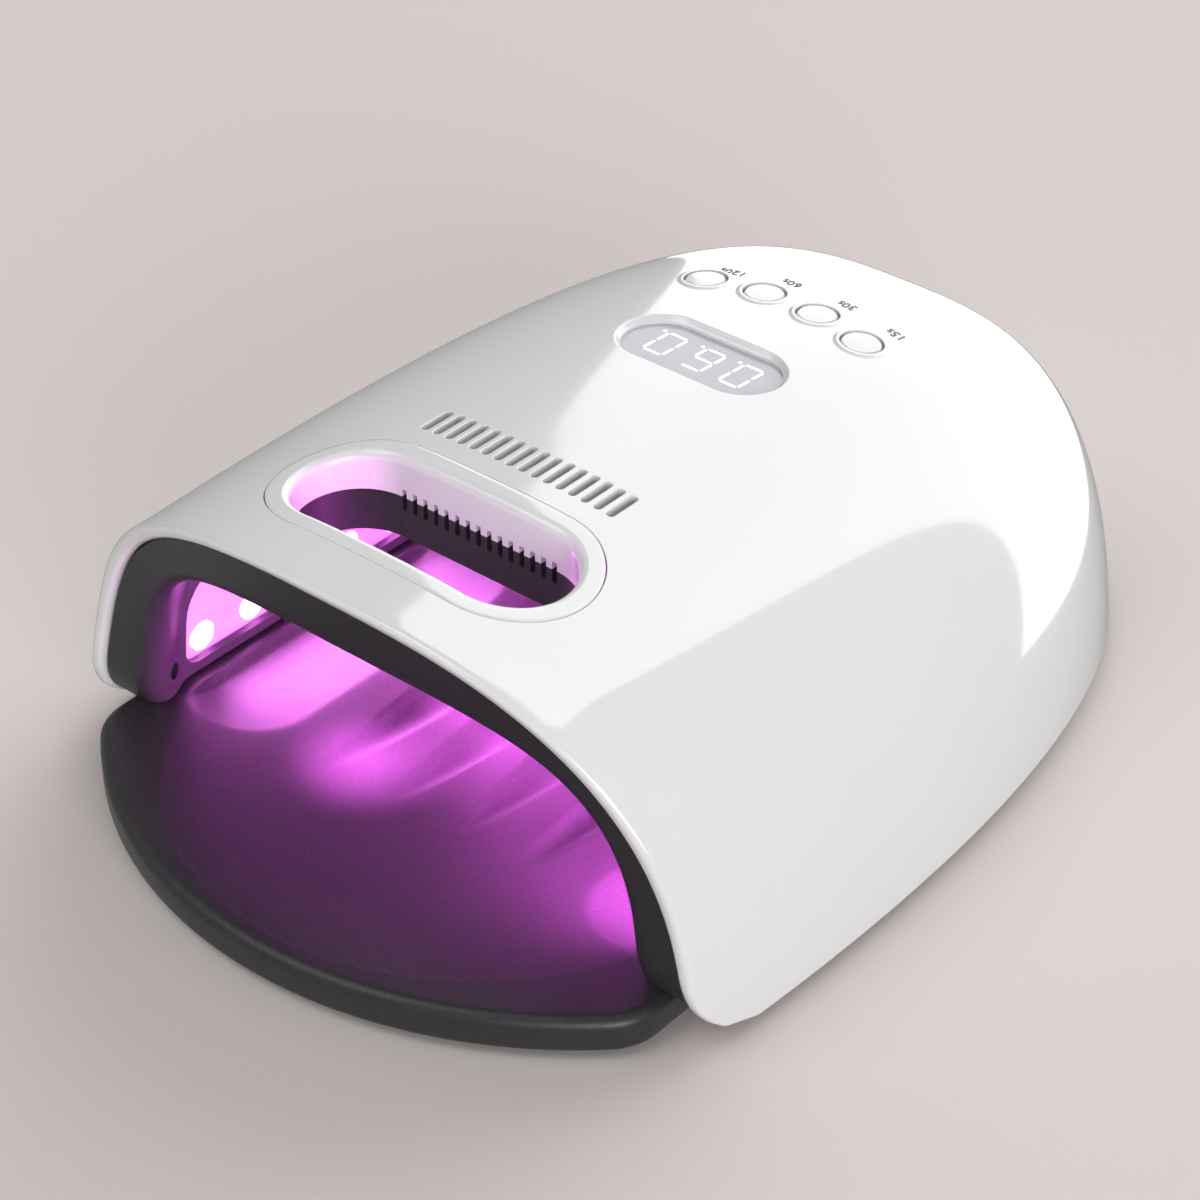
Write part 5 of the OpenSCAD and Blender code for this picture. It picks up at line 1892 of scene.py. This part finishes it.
@dataclass(frozen=True)
class Screws:
    """Crosshead screws of one size, heads down, each stopped at its own angle."""

    name: str
    places: Sequence[Pair]
    low: float
    length: float
    head_radius: float
    head_height: float
    shank_radius: float
    cross_span: float = 3.0
    cross_width: float = 0.6
    cross_depth: float = 0.6
    thread_pitch: float = 0.8
    seed: int = 7

    # The dome that rounds the head is wider than the head by this factor
    DOME = 1.25
    # Radius of the core as a share of the shank, and length of the tip in core radii
    CORE = 0.8
    TIP = 1.5
    # Radius of the point as a share of the core
    POINT = 0.15
    # How far up the head the shank starts
    ROOT = 0.9
    # Radius of the thread's ridge as a share of the shank, and how soon it stops, in core radii
    RIDGE = 0.19
    RUN_OUT = 0.4
    STEPS_PER_TURN = 16
    RIDGE_SIDES = 4

    def build(self, finish: bpy.types.Material) -> bpy.types.Object:
        """Makes all the screws as one piece.

        Args:
            finish: their material.

        Returns:
            The finished object.
        """
        tree = self.tree()
        mesh = bpy.data.meshes.new(self.name)
        mesh.from_pydata([(x * MM, (y - MID_Y) * MM, self.low * MM) for x, y in self.places], [], [])
        made = bpy.data.objects.new(self.name, mesh)
        bpy.context.scene.collection.objects.link(made)
        step = made.modifiers.new("screws", "NODES")
        step.node_group = tree.tree
        for words, value in self.sizes().items():
            step[tree.keys[words]] = value * MM
        step[tree.keys["Seed"]] = self.seed
        step[tree.keys["Finish"]] = finish
        apply_modifiers(made)
        smooth(made, 40)
        return made

    def sizes(self) -> dict[str, float]:
        """The sizes of the tree by their names.

        Returns:
            The sizes in millimetres.
        """
        return {"Head radius": self.head_radius, "Head height": self.head_height,
                "Shank radius": self.shank_radius, "Length": self.length, "Cross span": self.cross_span,
                "Cross width": self.cross_width, "Cross depth": self.cross_depth,
                "Thread pitch": self.thread_pitch}

    def tree(self) -> Tree:
        """Lays out the nodes: one screw, copied to every place with a turn of its own.

        Returns:
            The finished tree.
        """
        tree = Tree(self.name, list(self.sizes()))
        head_r, head_h, shank_r, length, span, width, depth, pitch = (tree.given[k] for k in self.sizes())
        ball = tree.node("GeometryNodeMeshUVSphere", "Mesh", segments=tree.SIDES, rings=tree.SIDES // 2,
                         radius=1.0)
        dome = tree.moved(ball, head_h, tree.vector(head_r * self.DOME, head_r * self.DOME, head_h))
        head = tree.cut("INTERSECT", mesh=[tree.drum(head_r, 0.0, head_h), dome])
        bars = [tree.node("GeometryNodeMeshCube", "Mesh", size=tree.vector(*size))
                for size in ((span, width, depth * 2), (width, span, depth * 2))]
        head = tree.cut("DIFFERENCE", mesh_1=head, mesh_2=bars)
        core = shank_r * self.CORE
        tip = core * self.TIP
        root = head_h * self.ROOT
        shank = tree.drum(core, root, length - tip - root)
        cone = tree.node("GeometryNodeMeshCone", "Mesh", {"fill_type": "NGON"}, vertices=tree.SIDES,
                         radius_top=core * self.POINT, radius_bottom=core, depth=tip)
        run = length - tip - head_h
        helix = tree.node("GeometryNodeCurveSpiral", "Curve", resolution=self.STEPS_PER_TURN,
                          rotations=run / pitch, start_radius=core, end_radius=core,
                          height=run - core * self.RUN_OUT)
        ridge = tree.node("GeometryNodeCurvePrimitiveCircle", "Curve", resolution=self.RIDGE_SIDES,
                          radius=shank_r * self.RIDGE)
        thread = tree.node("GeometryNodeCurveToMesh", "Mesh", curve=helix, profile_curve=ridge,
                           fill_caps=True)
        screw = tree.node("GeometryNodeJoinGeometry", "Geometry",
                          geometry=[head, shank, tree.moved(cone, length - tip), tree.moved(thread, head_h)])
        turn = tree.node("FunctionNodeRandomValue", "Value", {"data_type": "FLOAT"}, min=0.0, max=math.tau,
                         seed=tree.given["Seed"])
        copies = tree.node("GeometryNodeInstanceOnPoints", "Instances", points=tree.given["Places"],
                           instance=screw, rotation=tree.vector(0, 0, turn))
        solid = tree.node("GeometryNodeRealizeInstances", "Geometry", geometry=copies)
        dressed = tree.node("GeometryNodeSetMaterial", "Geometry", geometry=solid,
                            material=tree.given["Finish"])
        tree.feed(dressed, tree.end.inputs["Geometry"])
        return tree


def both_sides(places: Sequence[Pair]) -> list[Pair]:
    """Places on the right and their mirror images on the left."""
    return [(side * x, y) for side in (1, -1) for x, y in places]


COVER_SCREWS = Screws(
    "cover_screw_set", both_sides([(98.2, 40), (98.1, 95), (38, 224)]), low=2.2, length=13.0,
    head_radius=2.6, head_height=1.0, shank_radius=1.35,
)
BOARD_SCREWS = Screws(
    "board_screw_set", both_sides([(35, 120), (35, 176)]), low=76.6, length=9.0,
    head_radius=2.1, head_height=1.4, shank_radius=1.05, cross_depth=0.7,
)


# Studio

MAGENTA = (1.0, 0.14, 0.98)
PINK = (1.0, 0.24, 0.98)


@dataclass(frozen=True)
class Softbox:
    """A rectangular studio light that looks at a point near the lamp, with its sizes in metres."""

    name: str
    at: Spot
    aim: Spot
    size: Pair
    power: float
    colour: Colour = (1.0, 1.0, 1.0)
    spread: float = 180.0

    def build(self) -> bpy.types.Object:
        """Adds the light.

        Returns:
            The light as an object.
        """
        light = bpy.data.lights.new(self.name, "AREA")
        light.shape = "RECTANGLE"
        light.size, light.size_y = self.size
        light.energy = self.power
        light.color = self.colour
        light.spread = math.radians(self.spread)
        made = bpy.data.objects.new(self.name, light)
        made.location = self.at
        made.rotation_euler = (Vector(self.aim) - Vector(self.at)).to_track_quat("-Z", "Y").to_euler()
        made.visible_camera = False
        bpy.context.scene.collection.objects.link(made)
        return made


@dataclass
class Studio:
    """Floor, lights, surroundings and camera.

    The three large boxes light the room. The small glows carry the light of the LEDs in the chamber,
    and don't show in the gloss.
    """

    floor_half: float = 30000.0
    floor_r: float = 900.0
    floor_deep: float = 20.0
    floor_colour: Colour = (229, 220, 216)
    floor_drift: float = 2.0
    floor_roughness: float = 0.75
    sky: tuple[float, float, float, float] = (1.0, 0.995, 0.99, 1.0)
    sky_strength: float = 0.30
    sky_in_gloss: float = 0.05
    lens: float = 99.0
    sensor: float = 36.0
    camera_at: Spot = (0.4521, -0.5474, 0.5309)
    camera_right: Spot = (0.7636, 0.6456, 0.0)
    camera_back: Spot = (0.5284, -0.6249, 0.5747)
    boxes: Sequence[Softbox] = (
        Softbox("window", (-1.15, 11.94, 6.8), (0, 0, 6.8), (17.2, 23.2), 2450.0),
        Softbox("fill", (7.2, -4.2, 2.2), (0, 0, 0.1), (6.0, 4.0), 440.0),
        Softbox("top", (-4.0, -6.0, 11.0), (0, 0, 0), (8.0, 8.0), 380.0),
    )
    glows: Sequence[Softbox] = (
        Softbox("glow_left", (-0.082, -0.034, 0.018), (0, -0.035, 0.008), (0.08, 0.008), 0.62, PINK, 108),
        Softbox("glow_right", (0.082, -0.044, 0.0195), (0, -0.045, 0.0075), (0.08, 0.008), 0.46, MAGENTA,
                110),
        Softbox("glow_lobe", (0.078, -0.074, 0.034), (0.045, -0.079, 0.009), (0.01, 0.01), 0.014, MAGENTA,
                70),
        Softbox("glow_top", (-0.044, -0.028, 0.06), (0.002, -0.032, 0.008), (0.02, 0.04), 0.24, MAGENTA, 66),
        Softbox("glow_rear", (-0.01, 0.018, 0.068), (-0.008, 0.014, 0), (0.06, 0.04), 0.14, MAGENTA, 100),
        Softbox("glow_front", (-0.032, -0.076, 0.064), (-0.026, -0.073, 0), (0.01, 0.01), 0.06, MAGENTA, 44),
    )

    def build(self) -> None:
        """Sets the whole studio up."""
        self.floor()
        self.surroundings()
        for box in self.boxes:
            box.build()
        for glow in self.glows:
            glow.build().visible_glossy = False
        self.camera()
        bpy.context.scene.view_settings.view_transform = "Standard"

    def floor(self) -> None:
        """Lays a wide pale floor."""
        half = self.floor_half
        outline = rounded_box((-half, -half), (half, half), [self.floor_r] * 4, 8)
        made = prism_form(outline, (-self.floor_deep, 0), (0, 0)).object("studio_floor")
        paint = Paint("studio_floor")
        cloud = paint.noise(260.0, 2.0)
        fine = paint.noise(2.0, 2.0)
        shade = tuple(c - self.floor_drift for c in self.floor_colour)
        paint.put("Base Color", paint.mix(cloud, linear(self.floor_colour), linear(shade)))
        paint.put("Roughness", fine * 0.05 + self.floor_roughness)
        made.data.materials.append(paint.material)
        made.visible_glossy = False

    def surroundings(self) -> None:
        """Gives even pale light from all round, a little stronger in what the gloss shows."""
        world = bpy.data.worlds.new("studio")
        bpy.context.scene.world = world
        world.use_nodes = True
        back = world.node_tree.nodes["Background"]
        back.inputs["Color"].default_value = self.sky
        nodes = Nodes(world.node_tree)
        gloss = nodes.node("ShaderNodeLightPath", "Is Glossy Ray")
        strength = gloss.step("MULTIPLY_ADD", self.sky_in_gloss, self.sky_strength)
        nodes.feed(strength, back.inputs["Strength"])

    def camera(self) -> None:
        """Puts the camera at the photograph's place."""
        data = bpy.data.cameras.new("camera")
        data.sensor_width = self.sensor
        data.lens = self.lens
        made = bpy.data.objects.new("camera", data)
        right = Vector(self.camera_right).normalized()
        back = Vector(self.camera_back).normalized()
        up = back.cross(right)
        turn = Matrix((right, up, back)).transposed().to_4x4()
        made.matrix_world = Matrix.Translation(self.camera_at) @ turn
        bpy.context.scene.collection.objects.link(made)
        bpy.context.scene.camera = made


# The lamp


@dataclass
class Lamp:
    """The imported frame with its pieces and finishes."""

    frame: dict
    made: dict[str, bpy.types.Material] = field(default_factory=dict)

    def finish(self, slot: str) -> bpy.types.Material:
        """The material of a slot, made once.

        Args:
            slot: the slot's name in the record, which is also its finish's name.

        Returns:
            The material.
        """
        if slot not in self.made:
            look = next(look for look in Look if look.value.name == slot)
            self.made[slot] = look.value.material()
        return self.made[slot]

    def dress_frame(self) -> None:
        """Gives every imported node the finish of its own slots."""
        for name, node in self.frame["nodes"].items():
            for index, slot in enumerate(node.material_slots):
                words = slot.material.name.split(".")[0] if slot.material else ""
                slot.material = self.finish(words)
                LOG.info("%s slot %d: %s", name, index, words)

    def add(self, piece: bpy.types.Object, body: str, slot: str, finish: str, *nodes: str) -> None:
        """Puts a piece on a body with a finish.

        Args:
            piece: the piece.
            body: the body that it rides on.
            slot: the record's slot that it belongs to; not used.
            finish: the slot whose finish it has.
            nodes: the nodes that it stands for.
        """
        piece.data.materials.clear()
        piece.data.materials.append(self.finish(finish))
        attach(piece, body)
        if nodes:
            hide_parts(*nodes)
        LOG.info("%s on %s: %d faces, %s", piece.name, body, len(piece.data.polygons), finish)

    def build(self) -> None:
        """Makes every piece."""
        self.dress_frame()
        steel = self.finish("steel")
        self.add(Hood().build(), "housing", "white_shell", "white_shell", "top_shell")
        self.add(ButtonRings().build(), "housing", "white_shell", "white_shell")
        self.add(HandleTrim().build(), "housing", "white_trim", "white_trim", "handle_collar")
        self.add(Liner().build(), "housing", "liner_plastic", "liner_plastic", "inner_liner")
        self.add(Plate().build(), "base", "plate_plastic", "plate_plastic", "base_plate")
        self.add(COVER_SCREWS.build(steel), "housing", "steel", "steel", "cover_screws")
        self.add(BOARD_SCREWS.build(steel), "housing", "steel", "steel", "board_screws")
        self.add(Digits().build(), "housing", "display_panel", "lit_segments")
        for label in LABELS:
            self.add(label.build(), "housing", "white_shell", "label_ink")


def corners(box: tuple[Vector, Vector]) -> list[list[float]]:
    """A box as plain lists of numbers."""
    return [[float(value) for value in corner] for corner in box]


def main() -> None:
    """Builds the lamp and its studio."""
    logging.basicConfig(level=logging.INFO, format="%(name)s: %(message)s")
    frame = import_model()
    Lamp(frame).build()
    Studio().build()


if __name__ == "__main__":
    main()
